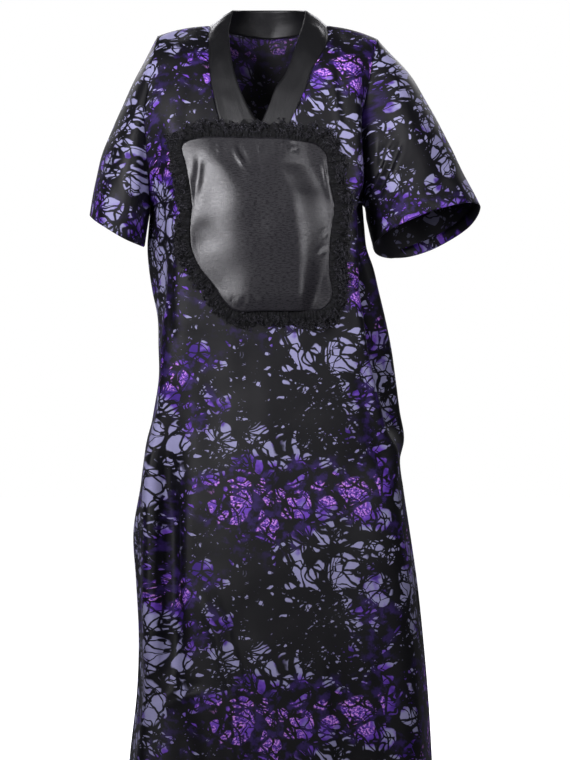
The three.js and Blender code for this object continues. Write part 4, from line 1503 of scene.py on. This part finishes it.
    @staticmethod
    def _fold(obj: MeshObject, cloth: Cloth, folds: list[Fold], swell: float, seed: float,
              calm: tuple[float, float, float, float] | None = None) -> None:
        """Lays the folds and the slow unevenness into a sheet.

        Args:
            obj: the open sheet.
            cloth: its grid, which says where it is free to fold.
            folds: the folds.
            swell: the height of the unevenness, in millimetres.
            seed: the shift of the unevenness.
            calm: the low and high x and z of a place that a sewn piece holds flat, in millimetres.
        """
        points, _ = mesh_points(obj)
        free = np.array(cloth.free)
        amounts = unevenness(points, 95.0, swell, seed) + unevenness(points, 38.0, swell * 0.35, seed + 5)
        for fold in folds:
            amounts = amounts + fold.offsets(points[:, 0], points[:, 2])
        if calm is not None:
            x, z = points[:, 0], points[:, 2]
            inside = smooth(x, calm[0] - 30, calm[0]) * smooth(-x, -calm[1] - 30, -calm[1])
            inside = inside * smooth(z, calm[2] - 30, calm[2]) * smooth(-z, -calm[3] - 30, -calm[3])
            free = free * (1 - 0.85 * inside)
        lift(obj, amounts * free)

    def build(self, sewing: Sewing) -> None:
        for name, maker, away in (("front", self.front, -1), ("back", self.back, 1)):
            obj, line = maker()
            proud = np.array([0, away * self.stitch_proud, 0])
            sewing.finish(obj, name, line[2:-2] + proud, self.cut, self.fill, "neckband_satin")


# ---------------- garment: sleeves
@dataclass
class Sleeve:
    """One wide elbow-length sleeve, sewn to a dropped armhole."""

    form: WornForm
    side: str
    folds: list[Fold]
    cut: Pair
    print_shift: float
    seed: float
    fill: float = 0.9
    steps: int = 8
    rings_a_step: int = 8
    around: int = 5
    hem_turn: float = 18.0
    hem_path: Pairs = ((0.5, -0.6), (1.5, -0.4), (1.9, 1.0), (1.9, 9.0))
    seam_reach: float = 22.0
    stitch_ring: int = -6

    def rows(self) -> Points:
        """Rings from the armhole to the hem."""
        form, sleeve = self.form, self.form.sleeves[self.side]
        sign = SIDES[self.side]
        rings = []
        for step in range(self.steps + 1):
            along = step / self.steps
            ring = []
            for k in range(2 * form.armhole_steps + 1):
                degrees = (180 * k / form.armhole_steps) % 360
                turned = degrees - 360 if degrees > 180 else degrees
                point = sleeve.armhole(turned) * (1 - along) + sleeve.hem(degrees) * along
                angle = math.radians(degrees)
                outward, forward = max(math.cos(angle), 0), math.sin(angle)
                point[0] += sign * list_at(sleeve.top_bulge, along) * outward
                if k == form.armhole_steps:
                    point[0] += sign * 1.5 * (1 - along)
                point[1] -= list_at(sleeve.front_bulge, along) * forward
                free = math.sin(math.pi * min(along * 2, 1) / 2) * abs(forward)
                point[1] += math.copysign(free, forward) * form.depth(form.sleeve_troughs, point[0], point[2])
                ring.append(point)
            rings.append(ring)
        return np.array(rings)

    def _flat(self, grid: Points) -> list[tuple[slice, Points]]:
        """Unrolls the sleeve about its own line, in halves that meet on top and part at the underarm.

        Args:
            grid: rings from the armhole to the hem.

        Returns:
            For the front and the back half, its columns and its flat coordinates in metres.
        """
        axis = grid[-1].mean(axis=0) - grid[0].mean(axis=0)
        axis /= np.linalg.norm(axis)
        steps = np.diff(grid, axis=1)
        steps = steps - (steps @ axis)[..., None] * axis
        around = running(np.linalg.norm(steps, axis=-1))
        under = grid.shape[1] // 2
        halves = []
        for part, start in ((slice(0, under + 1), around[:, :1]), (slice(under, None), around[:, -1:])):
            height = self.print_shift * 0.4 - grid[:, part] @ axis
            halves.append((part, np.stack([around[:, part] - start + self.print_shift, height], axis=-1) * MM))
        return halves

    def _hem_rows(self, grid: Points) -> Points:
        """Rings of the hem that is folded to the inside and turned up."""
        hem = grid[-1]
        down_way = unit(hem - grid[-3])
        inward = hem[:-1].mean(axis=0) - hem
        inward -= down_way * np.sum(inward * down_way, axis=1, keepdims=True)
        inward /= np.maximum(np.linalg.norm(inward, axis=1, keepdims=True), 1e-6)
        path = (*self.hem_path, (1.7, self.hem_turn))
        return np.array([hem + inward * inset - down_way * rise for inset, rise in path])

    def build(self, sewing: Sewing) -> None:
        rings = refined_across(self.rows(), self.around, closed=True)
        grid = refined(rings, [self.rings_a_step] * (len(rings) - 1))
        below = running(distances(grid[:, 0]))
        turn = self._hem_rows(grid)
        tall = np.concatenate([grid, turn])
        free = np.append(smooth(below, 0, self.seam_reach), np.ones(len(turn)))
        free = np.repeat(free[:, None], grid.shape[1], axis=1)
        cloth = Cloth()
        for part, flat in self._flat(grid):
            cloth.add_grid(tall[:, part], turned_under(flat, len(turn), self.hem_turn), free[:, part])
        obj = cloth.build(f"sleeve_{self.side}", grid.reshape(-1, 3).mean(axis=0))
        points, normals = mesh_points(obj)
        amounts = unevenness(points, 60.0, 2.2, self.seed)
        facing = smooth(-normals[:, 1], -0.1, 0.4)
        for fold in self.folds:
            amounts = amounts + fold.offsets(points[:, 0], points[:, 2]) * facing
            amounts = amounts + fold.offsets(points[:, 0] + 14, points[:, 2] - 22) * (1 - facing) * 0.7
        lift(obj, amounts * np.array(cloth.free))
        ring = grid[self.stitch_ring]
        line = ring + (ring - ring[:-1].mean(axis=0)) * 0.004
        sewing.finish(obj, f"sleeve_{self.side}", line, self.cut, self.fill, "front_cloth")


# ---------------- garment: neckband
@dataclass
class Neckband:
    """The plain satin band round the neck and down to the V."""

    form: WornForm
    stitches: StitchRow = field(default_factory=lambda: StitchRow(2.6 * MM, 1.9 * MM, 0.26 * MM))
    across: int = 12
    rear_rows: int = 24
    thickness: float = 1.7 * MM
    cut: Pair = (0.064, 0.70)
    fill: float = 0.88

    def rows(self) -> Points:
        """Rows across the band, from the left end at the V round the back to the right end."""
        form = self.form
        steps = 3 * form.armhole_steps
        sides = {}
        for side in SIDES:
            low, high = form.band_outer[side], form.band_inner[side]
            shares = [form.step_share(k / 3) for k in range(steps + 1)]
            sides[side] = [(low.at_share(share), high.at_share(share)) for share in shares]
        y, z = form.neck_back["inner_y"], form.neck_back["inner_z"]
        starts = [form.band_inner[side].at_share(0) for side in sides]
        beside = [(start[0] * 0.72, y * 0.72, mix(25, z, 0.7)) for start in starts]
        inner = SmoothCurve([starts[0], beside[0], (0, y, z), beside[1], starts[1]])
        top = form.back_top()
        first = sum(form.back_columns[1:])
        outer = SmoothCurve(top[first: len(top) - first])
        rear = [(outer.at_share(k / self.rear_rows), inner.at_share(k / self.rear_rows))
                for k in range(1, self.rear_rows)]
        ring = [*sides["left"][::-1], *rear, *sides["right"]]
        rows = []
        for i, (low, high) in enumerate(ring):
            before, after = ring[max(i - 1, 0)][0], ring[min(i + 1, len(ring) - 1)][0]
            proud = np.cross(high - low, after - before)
            proud /= np.linalg.norm(proud)
            ends = min(1.0, i / 3, (len(ring) - 1 - i) / 3)
            row = []
            for k in range(self.across + 1):
                share = k / self.across
                roll = form.band_roll * math.sin(math.pi * share) * ends
                row.append(low + (high - low) * share + proud * roll)
            rows.append(row)
        return np.array(rows)

    def build(self, satin: Material, sewing: Sewing) -> None:
        """Args:
            satin: the band's finish.
            sewing: what the thread and the stitch tree are taken from.
        """
        grid = self.rows()
        v = running(distances(grid).mean(axis=1))
        wide = np.linalg.norm(grid[:, -1] - grid[:, 0], axis=1)
        shares = np.linspace(0, 1, grid.shape[1])
        down_band = np.repeat(v[:, None], grid.shape[1], axis=1)
        uvs = np.stack([wide[:, None] * shares[None], down_band], axis=-1) * MM
        free = np.repeat(np.sin(np.pi * shares)[None] ** 0.5, len(grid), axis=0)
        order = np.arange(len(grid))
        free *= (smooth(order, 0, 5) * smooth(order[::-1], 0, 5))[:, None]
        cloth = Cloth()
        cloth.add_grid(grid, uvs, free)
        obj = cloth.build("neckband", (0, 0, -260))
        points, _ = mesh_points(obj)
        amounts = unevenness(points, 26.0, 1.3, 22.0) + unevenness(points, 70.0, 1.7, 25.0)
        folds = [Fold([(-62, 8), (-84, -4), (-100, -22)], 1.8, 6, TUCK),
                 Fold([(-88, -30), (-74, -80), (-58, -120)], 0.9, 9, RIDGE),
                 Fold([(60, 4), (82, -6), (94, -24)], 1.4, 6, TUCK),
                 Fold([(62, -40), (46, -90), (26, -130)], 0.8, 9, TROUGH)]
        front = points[:, 1] < 20
        for fold in folds:
            amounts = amounts + fold.offsets(points[:, 0], points[:, 2]) * front
        lift(obj, amounts * np.array(cloth.free))
        thickened(obj, self.thickness, satin)
        obj.name = "neckband_satin"
        as_piece(obj, "neckband")
        for column, name in ((1, "sewn"), (self.across - 1, "free")):
            line = grid[3:-3, column]
            normal = unit(np.cross(np.gradient(line, axis=0), grid[3:-3, column + 1] - line))
            if normal[3][1] > 0:
                normal = -normal
            row = self.stitches.along(f"neckband_{name}_stitches", line + normal * 0.5, sewing.stitch_tree,
                                      sewing.thread)
            as_piece(row)


# ---------------- garment: chest panel and trim
class ClothFinder:
    """Finds the outside of the front cloth and the neckband at a place seen from the front."""

    def __init__(self, cloths: list[MeshObject], step: float = 4.0) -> None:
        """Samples the outermost cloth on a lattice, closes the neck opening and smooths it a little.

        Args:
            cloths: the finished pieces that the panel and its trim lie on.
            step: the lattice's pitch, in millimetres.
        """
        self.step = step
        self.xs, self.zs = np.arange(-220, 200, step), np.arange(-580, -120, step)
        found = np.full((len(self.xs), len(self.zs)), np.nan)
        for cloth in cloths:
            mesh = cloth.data
            tree = BVHTree.FromPolygons([v.co for v in mesh.vertices], [p.vertices for p in mesh.polygons])
            for i, x in enumerate(self.xs):
                for k, z in enumerate(self.zs):
                    hit = tree.ray_cast(Vector((x, -400, z)) * MM, Vector((0, 1, 0)), 0.39)[0]
                    if hit is not None and not hit.y / MM > found[i, k]:
                        found[i, k] = hit.y / MM
        while np.isnan(found).any():
            near = np.stack([np.roll(found, shift, axis) for shift in (-1, 1) for axis in (0, 1)])
            known = ~np.isnan(near)
            mean = np.where(known, near, 0).sum(axis=0) / np.maximum(known.sum(axis=0), 1)
            found = np.where(np.isnan(found) & known.any(axis=0), mean, found)
        for _ in range(3):
            found = np.minimum(found, self._blurred(found))
        self.lattice = self._blurred(found)

    @staticmethod
    def _blurred(lattice: np.ndarray) -> np.ndarray:
        """A lattice averaged with its neighbours, its border kept."""
        padded = np.pad(lattice, 1, mode="edge")
        rows = (padded[:-2] + 2 * padded[1:-1] + padded[2:]) / 4
        return (rows[:, :-2] + 2 * rows[:, 1:-1] + rows[:, 2:]) / 4

    def depth(self, x: np.ndarray, z: np.ndarray) -> np.ndarray:
        """The cloth's y at places seen from the front.

        Args:
            x: sideways places, in millimetres.
            z: heights, in millimetres.

        Returns:
            The depth at each place, in millimetres.
        """
        across = np.clip((x - self.xs[0]) / self.step, 0, len(self.xs) - 1.001)
        up = np.clip((z - self.zs[0]) / self.step, 0, len(self.zs) - 1.001)
        i, k = across.astype(int), up.astype(int)
        a, b = across - i, up - k
        low = self.lattice[i, k] * (1 - a) + self.lattice[i + 1, k] * a
        high = self.lattice[i, k + 1] * (1 - a) + self.lattice[i + 1, k + 1] * a
        return low * (1 - b) + high * b


PANEL_OUTLINE = (
    (-143, -207), (-126, -198), (-48, -197), (40, -200), (78, -207), (92, -222), (100, -275),
    (106, -308), (100, -357), (98, -411), (102, -455), (86, -475), (52, -477), (-10, -477),
    (-59, -475), (-92, -434), (-114, -407), (-127, -378), (-130, -345), (-127, -302), (-136, -244))
PANEL_FOLDS = [
    Fold([(-80, -197), (-79, -210), (-77, -230)], 3.2, 3.6, TUCK, 0.4),
    Fold([(-60, -196), (-50, -222), (-32, -252)], 3.0, 7, TUCK, 0.4),
    Fold([(-14, -196), (-13, -210), (-12, -228)], 3.2, 3.6, TUCK, 0.4),
    Fold([(12, -197), (13, -210), (12, -232)], 3.2, 3.6, TUCK, 0.4),
    Fold([(38, -198), (39, -210), (40, -226)], 3.0, 3.4, TUCK, 0.4),
    Fold([(86, -224), (96, -262), (104, -306)], 3.4, 6, TUCK, 0.35),
    Fold([(-112, -214), (-115, -256), (-121, -302)], 2.6, 7, TROUGH, 0.4),
    Fold([(-128, -250), (-124, -290), (-124, -330)], 0.9, 6, TUCK, 0.4),
    Fold([(-112, -322), (-104, -356), (-96, -386)], 1.5, 19, TROUGH, 0.4),
    Fold([(80, -356), (90, -350), (101, -342)], 1.3, 4.5, TUCK, 0.4),
    Fold([(74, -386), (86, -378), (99, -372)], 1.5, 4.5, TUCK, 0.4),
    Fold([(-60, -476), (-56, -464), (-52, -452)], 1.8, 4, TUCK, 0.5),
    Fold([(-40, -476), (-36, -466), (-34, -450)], 1.6, 4, TUCK, 0.5),
    Fold([(-18, -477), (-20, -464), (-26, -446)], 1.8, 5, TUCK, 0.5),
]


@dataclass
class ChestPanel:
    """The puffed satin panel on the chest and the outline that its trim follows."""

    finder: ClothFinder
    puff: float = 13.0
    lay: float = 2.9
    crest_round: float = 0.14
    heights: tuple[float, ...] = (200, 240, 290, 350, 395, 440, 480)
    left_edge: tuple[float, ...] = (-140, -140, -136, -134, -132, -122, -112)
    left_crest: tuple[float, ...] = (-98, -80, -46, -34, -34, -36, -42)
    right_crest: tuple[float, ...] = (20, 10, 30, 42, 44, 46, 46)
    right_foot: tuple[float, ...] = (66, 70, 94, 106, 98, 82, 66)
    rings: int = 44
    sectors: int = 180
    thickness: float = 1.0 * MM
    cut: Pair = (0.262, 0.310)
    fill: float = 0.85

    def __post_init__(self) -> None:
        """Sets up the outline curve."""
        self.curve = SmoothCurve([(x, 0, z) for x, z in PANEL_OUTLINE], closed=True)

    def _crown(self, x: np.ndarray, z: np.ndarray) -> np.ndarray:
        """Share of the puff at each place: a flat middle that falls away to the left and the right."""
        down = -z
        start, end = (np.interp(down, self.heights, line) for line in (self.left_edge, self.left_crest))
        short = 1 - np.maximum((x - start) / (end - start), 0)
        left = 1 - (short + np.sqrt(short**2 + self.crest_round**2)) / 2
        start, end = (np.interp(down, self.heights, line) for line in (self.right_crest, self.right_foot))
        right = 1 - smooth((x - start) / (end - start), 0, 1)
        upper, lower = smooth(down, 186, 262), smooth(-down, -488, -448)
        return left * right * (0.36 + 0.64 * upper) * (0.7 + 0.3 * lower)

    def build(self, satin: Material) -> None:
        border = np.array([self.curve.at_share(k / self.sectors) for k in range(self.sectors + 1)])
        middle_x, middle_z = (np.mean(values) for values in zip(*PANEL_OUTLINE))
        centre = np.array([middle_x, 0, middle_z])
        shares = np.linspace(0, 1, self.rings + 1)[:, None, None]
        grid = centre + (border[None] - centre) * shares
        depth = self.finder.depth(grid[..., 0], grid[..., 2])
        slope_x = self.finder.depth(grid[..., 0] + 2, grid[..., 2]) - depth
        slope_z = self.finder.depth(grid[..., 0], grid[..., 2] + 2) - depth
        normal = unit(np.stack([slope_x / 2, -np.ones_like(depth), slope_z / 2], axis=-1))
        x, z = grid[..., 0], grid[..., 2]
        proud = self.lay + self.puff * self._crown(x, z)
        tight = smooth(1 - shares[..., 0], 0, 0.09)
        for fold in PANEL_FOLDS:
            proud = proud + fold.offsets(x, z) * tight
        places = np.stack([x.ravel(), depth.ravel(), z.ravel()], axis=-1)
        proud = proud + tight * unevenness(places, 52.0, 1.0, 31.0).reshape(x.shape)
        grid[..., 1] = depth
        grid = grid + normal * proud[..., None]
        cloth = Cloth()
        cloth.add_grid(grid, np.stack([x, z], axis=-1) * MM)
        obj = cloth.build("chest_panel", BEHIND_PANEL)
        thickened(obj, self.thickness, satin)
        obj.name = "chest_panel_satin"
        as_piece(obj, "chest_panel")


@dataclass
class RuffleTrim:
    """The gathered, frayed strip round the chest panel, with its waves and finer pinches."""

    panel: ChestPanel
    width: float = 24.0
    ridge: float = 5.0
    wave: float = 2.6
    waves: int = 62
    pinch: float = 1.8
    pinches: int = 190
    steps: int = 16
    across: int = 12
    tuck_in: float = 0.03
    bed: float = 3.1
    lowest: float = 0.2
    look_ahead: float = 0.002
    cut: Pair = (0.032, 1.30)

    def _section(self, share: float, parts: np.ndarray) -> tuple[list, list]:
        """One section across the strip.

        Args:
            share: its place round the panel's outline.
            parts: the places across the strip, from 0 at its inner edge to 1.

        Returns:
            Its points, with the height over the cloth in place of y, and its flat coordinates.
        """
        curve = self.panel.curve
        here, ahead = curve.at_share(share), curve.at_share((share + self.look_ahead) % 1)
        tangent = (ahead - here) / np.linalg.norm(ahead - here)
        outward = np.array([-tangent[2], 0, tangent[0]])
        if np.dot(outward, here - TRIM_MIDDLE) < 0:
            outward = -outward
        spot = Vector((here[0] / 30, 3.0, here[2] / 30))
        phase = math.tau * self.waves * share + 2.6 * noise.noise(spot * 1.7)
        fine = math.tau * self.pinches * share + 3.0 * noise.noise(spot * 2.9)
        deep = self.wave * (1 + 0.8 * noise.noise(spot * 2.3))
        ragged = 0.18 * noise.noise(spot) + 0.28 * noise.noise(spot * 3.4)
        width = (self.width + 1.5 * outward[0] + 0.5 * outward[2]) * (1 + ragged)
        points, uvs = [], []
        for part in parts:
            inner = max(part, 0)
            curl = 0.6 * math.sin(phase * 0.5 + 5 * inner)
            crown = self.ridge * math.sin(math.pi * min(inner + 0.12, 1) ** 0.8)
            ripple = deep * math.sin(phase + curl) * (0.25 + inner)
            patchy = 0.5 + 0.5 * noise.noise(spot * 4.1 + Vector((0, inner * 2, 0)))
            proud = crown + ripple + self.pinch * math.sin(fine + 1.3 * inner) * patchy
            out = part * width + 2.2 * math.cos(phase + 1.1) * inner
            points.append((here[0] + outward[0] * out, proud, here[2] + outward[2] * out))
            uvs.append((out * MM, share * self.cut[1]))
        return points, uvs

    def _sheet(self) -> tuple[MeshObject, np.ndarray]:
        """Makes the gathered strip as an open sheet, and says how freely it folds at each point."""
        count = self.waves * self.steps
        parts = np.linspace(-self.tuck_in, 1, self.across + 1)
        sections = [self._section((i % count) / count, parts) for i in range(count + 1)]
        grid, uvs = (np.array(side) for side in zip(*sections))
        depth = self.panel.finder.depth(grid[..., 0], grid[..., 2])
        grid[..., 1] = depth - self.bed - np.maximum(grid[..., 1], self.lowest)
        grid[-1] = grid[0]
        cloth = Cloth()
        cloth.add_grid(grid, uvs, np.repeat((0.3 + 0.7 * smooth(parts, 0.02, 0.35))[None], count + 1, axis=0))
        obj = cloth.build("panel_trim", BEHIND_PANEL)
        free = np.array(cloth.free)
        points, _ = mesh_points(obj)
        lift(obj, (unevenness(points, 9.0, 4.2, 41.0) + unevenness(points, 4.5, 1.6, 47.0)) * free)
        return obj, free

    @staticmethod
    def _guide(obj: MeshObject, free: np.ndarray) -> None:
        """Writes where the loose threads point and how thickly they grow.

        Args:
            obj: the open strip.
            free: how freely it folds at each point.
        """
        points, _ = mesh_points(obj)
        away = points - TRIM_MIDDLE
        away[:, 1] = 0
        away = unit(away)
        attribute = obj.data.attributes.new("outward", "FLOAT_VECTOR", "POINT")
        attribute.data.foreach_set("vector", away.astype(np.float32).ravel())
        clumps = unevenness(points, 12.0, 1.3, 44.0) + unevenness(points, 5.0, 0.9, 49.0)
        attribute = obj.data.attributes.new("tuft", "FLOAT", "POINT")
        attribute.data.foreach_set("value", (np.clip(1 + clumps, 0.2, 1.8) * free).astype(np.float32))

    def build(self, strip: Material, fringe: Material, threads: FrayedThreads) -> None:
        """Args:
            strip: the strip's finish.
            fringe: the threads' finish.
            threads: the threads' sizes.
        """
        obj, free = self._sheet()
        self._guide(obj, free)
        tufts = placed("panel_trim_threads", obj.data.copy())
        grown(tufts, threads.tree(), {
            "Density": threads.density, "Length": threads.length, "Thickness": threads.thickness,
            "Lean": threads.lean, "Seed": threads.seed, "Material": fringe})
        thickened(obj, 0.8 * MM, strip)
        obj.name = "panel_trim_strip"
        as_piece(obj, "panel_trim")
        as_piece(tufts)


# ---------------- studio
@dataclass(frozen=True)
class Lamp:
    """A soft light of a width and height that looks at a point, with its beam in degrees."""

    name: str
    place: Vector3
    target: Vector3
    size: Pair
    power: float
    beam: float
    colour: Vector3 = (0.965, 0.955, 1.0)

    def build(self) -> None:
        """Places the light."""
        data = bpy.data.lights.new(self.name, "AREA")
        data.shape = "RECTANGLE"
        data.size, data.size_y = self.size
        data.spread = math.radians(self.beam)
        data.energy = self.power
        data.color = self.colour
        obj = placed(self.name, data)
        obj.location = self.place
        obj.rotation_euler = (Vector(self.target) - Vector(self.place)).to_track_quat("-Z", "Y").to_euler()


@dataclass
class Studio:
    """Camera, soft lights, white surroundings and a pale floor."""

    floor_z: float
    distance: float = 4.5
    centre: Pair = (0.025, -0.589)
    lens: float = 128.4
    reach: float = 14.0
    lamps: tuple[Lamp, ...] = (
        Lamp("key", (-1.30, -2.30, 0.15), (0, 0, 0.0), (0.8, 1.1), 12.8, 68),
        Lamp("fill", (1.25, -2.35, 0.15), (0, 0, 0.0), (0.7, 1.1), 4.6, 68),
        Lamp("top", (0.0, -1.90, 1.60), (0, 0, -0.20), (1.8, 1.0), 2.4, 90),
        Lamp("rear_left", (-1.3, 2.3, 1.5), (0, 0, -0.6), (1.2, 1.2), 62, 180),
        Lamp("rear_right", (1.4, 2.3, 1.5), (0, 0, -0.6), (1.2, 1.2), 46, 180))

    def _camera(self) -> None:
        """Makes the camera, level and straight on."""
        data = bpy.data.cameras.new("camera")
        data.lens = self.lens
        data.sensor_width = 36.0
        data.clip_end = 50.0
        obj = placed("camera", data)
        obj.location = (self.centre[0], -self.distance, self.centre[1])
        obj.rotation_euler = (math.pi / 2, 0, 0)
        bpy.context.scene.camera = obj

    @staticmethod
    def _surroundings() -> None:
        """Makes the world: white to the camera, and dim to the cloth."""
        world = bpy.data.worlds.new("studio_white")
        world.use_nodes = True
        desk = NodeDesk(world.node_tree)
        back = world.node_tree.nodes["Background"]
        back.inputs["Color"].default_value = (1.0, 1.0, 1.0, 1.0)
        seen = desk.add("ShaderNodeLightPath").outputs["Is Camera Ray"]
        desk.put(back.inputs["Strength"], desk.times_plus(seen, 0.92, 0.08))
        scene = bpy.context.scene
        scene.world = world
        scene.view_settings.view_transform = "Standard"
        scene.view_settings.look = "None"

    def _floor(self) -> None:
        """Makes the floor, which glows into the white far from the garment."""
        mesh = bpy.data.meshes.new("floor")
        ways = ((-1, -1), (1, -1), (1, 1), (-1, 1))
        mesh.from_pydata([(x * self.reach, y * self.reach, self.floor_z) for x, y in ways], [], [(0, 1, 2, 3)])
        floor = placed("floor", mesh)
        material, desk, shader = Finish.start("pale_floor")
        place = desk.add("ShaderNodeTexCoord").outputs["Object"]
        pale = desk.blend(desk.noise(place, 3.0), (0.82, 0.82, 0.83, 1.0), (0.86, 0.86, 0.86, 1.0))
        seen = desk.add("ShaderNodeLightPath").outputs["Is Camera Ray"]
        desk.put(shader.inputs["Base Color"], desk.blend(seen, (0.25, 0.25, 0.26, 1.0), pale))
        far = desk.add("ShaderNodeVectorMath", {0: place}, operation="LENGTH").outputs["Value"]
        shader.inputs["Roughness"].default_value = 0.7
        shader.inputs["Emission Color"].default_value = (1.0, 1.0, 1.0, 1.0)
        desk.put(shader.inputs["Emission Strength"], desk.times(seen, desk.step(far, 0.8, 1.7, 0.40, 1.0)))
        mesh.materials.append(material)

    def build(self) -> None:
        """Sets up the whole studio."""
        self._camera()
        for lamp in self.lamps:
            lamp.build()
        self._surroundings()
        self._floor()


def sleeves(form: WornForm) -> list[Sleeve]:
    """Both sleeves with their folds, the viewer's left one first."""
    left = [
        Fold([(-232, -120), (-226, -220), (-232, -330)], 2.2, 16),
        Fold([(-252, -210), (-262, -290), (-268, -350)], 2.0, 14, RIDGE),
        Fold([(-208, -200), (-210, -270), (-218, -350)], 1.6, 9, TUCK)]
    right = [
        Fold([(212, -192), (190, -246), (164, -302)], 7, 8, TUCK, 0.2),
        Fold([(164, -296), (166, -322), (168, -345)], 4, 7),
        Fold([(206, -240), (252, -262), (300, -290)], 3, 20),
        Fold([(190, -60), (220, -140), (236, -220)], 4, 14, RIDGE),
        Fold([(262, -170), (282, -240), (300, -310)], 3, 16)]
    return [Sleeve(form, "left", left, (0.40, 0.28), print_shift=430.0, seed=12.5),
            Sleeve(form, "right", right, (0.46, 0.36), print_shift=500.0, seed=17.5)]


def main() -> None:
    """Builds the garment piece by piece and reports each one."""
    logging.basicConfig(level=logging.INFO, format="%(name)s %(message)s")
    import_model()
    Studio(HEM_Z * MM - FLOOR_GAP).build()
    effects = SharedEffects()
    printed = PrintedCloth("printed_satin").build(effects)
    reverse = PrintedCloth("printed_satin_wrong_side", roughness=0.66, strength=0.30, sheen=0.04).build(effects)
    band = PlainSatin("black_satin", (0.0050, 0.0050, 0.0060), roughness=0.42, threads=6200.0, slub=0.35,
                      rumple=0.60, sheen=0.01, gloss=0.36).build(effects)
    charcoal = PlainSatin("charcoal_slub_satin", (0.0125, 0.0118, 0.0145), roughness=0.30, threads=5200.0,
                          slub=1.30, rumple=0.05, sheen=0.02, gloss=0.335, relief=0.00010).build(effects)
    strip = FrayedStrip("black_frayed_strip").build()
    fringe = FrayedStrip("black_fringe", (0.014, 0.0135, 0.017)).build()
    thread = FrayedStrip("dark_thread", (0.010, 0.009, 0.013)).build()

    form = WornForm()
    stitches = StitchRow()
    sewing = Sewing(printed, reverse, thread, stitches, stitches.tree())
    Neckband(form).build(band, sewing)
    BodyPanels(form).build(sewing)
    for sleeve in sleeves(form):
        sleeve.build(sewing)
    panel = ChestPanel(ClothFinder([bpy.data.objects["front_cloth"], bpy.data.objects["neckband_satin"]]))
    panel.build(charcoal)
    RuffleTrim(panel).build(strip, fringe, FrayedThreads())

    bpy.context.view_layer.update()


if __name__ == "__main__":
    main()
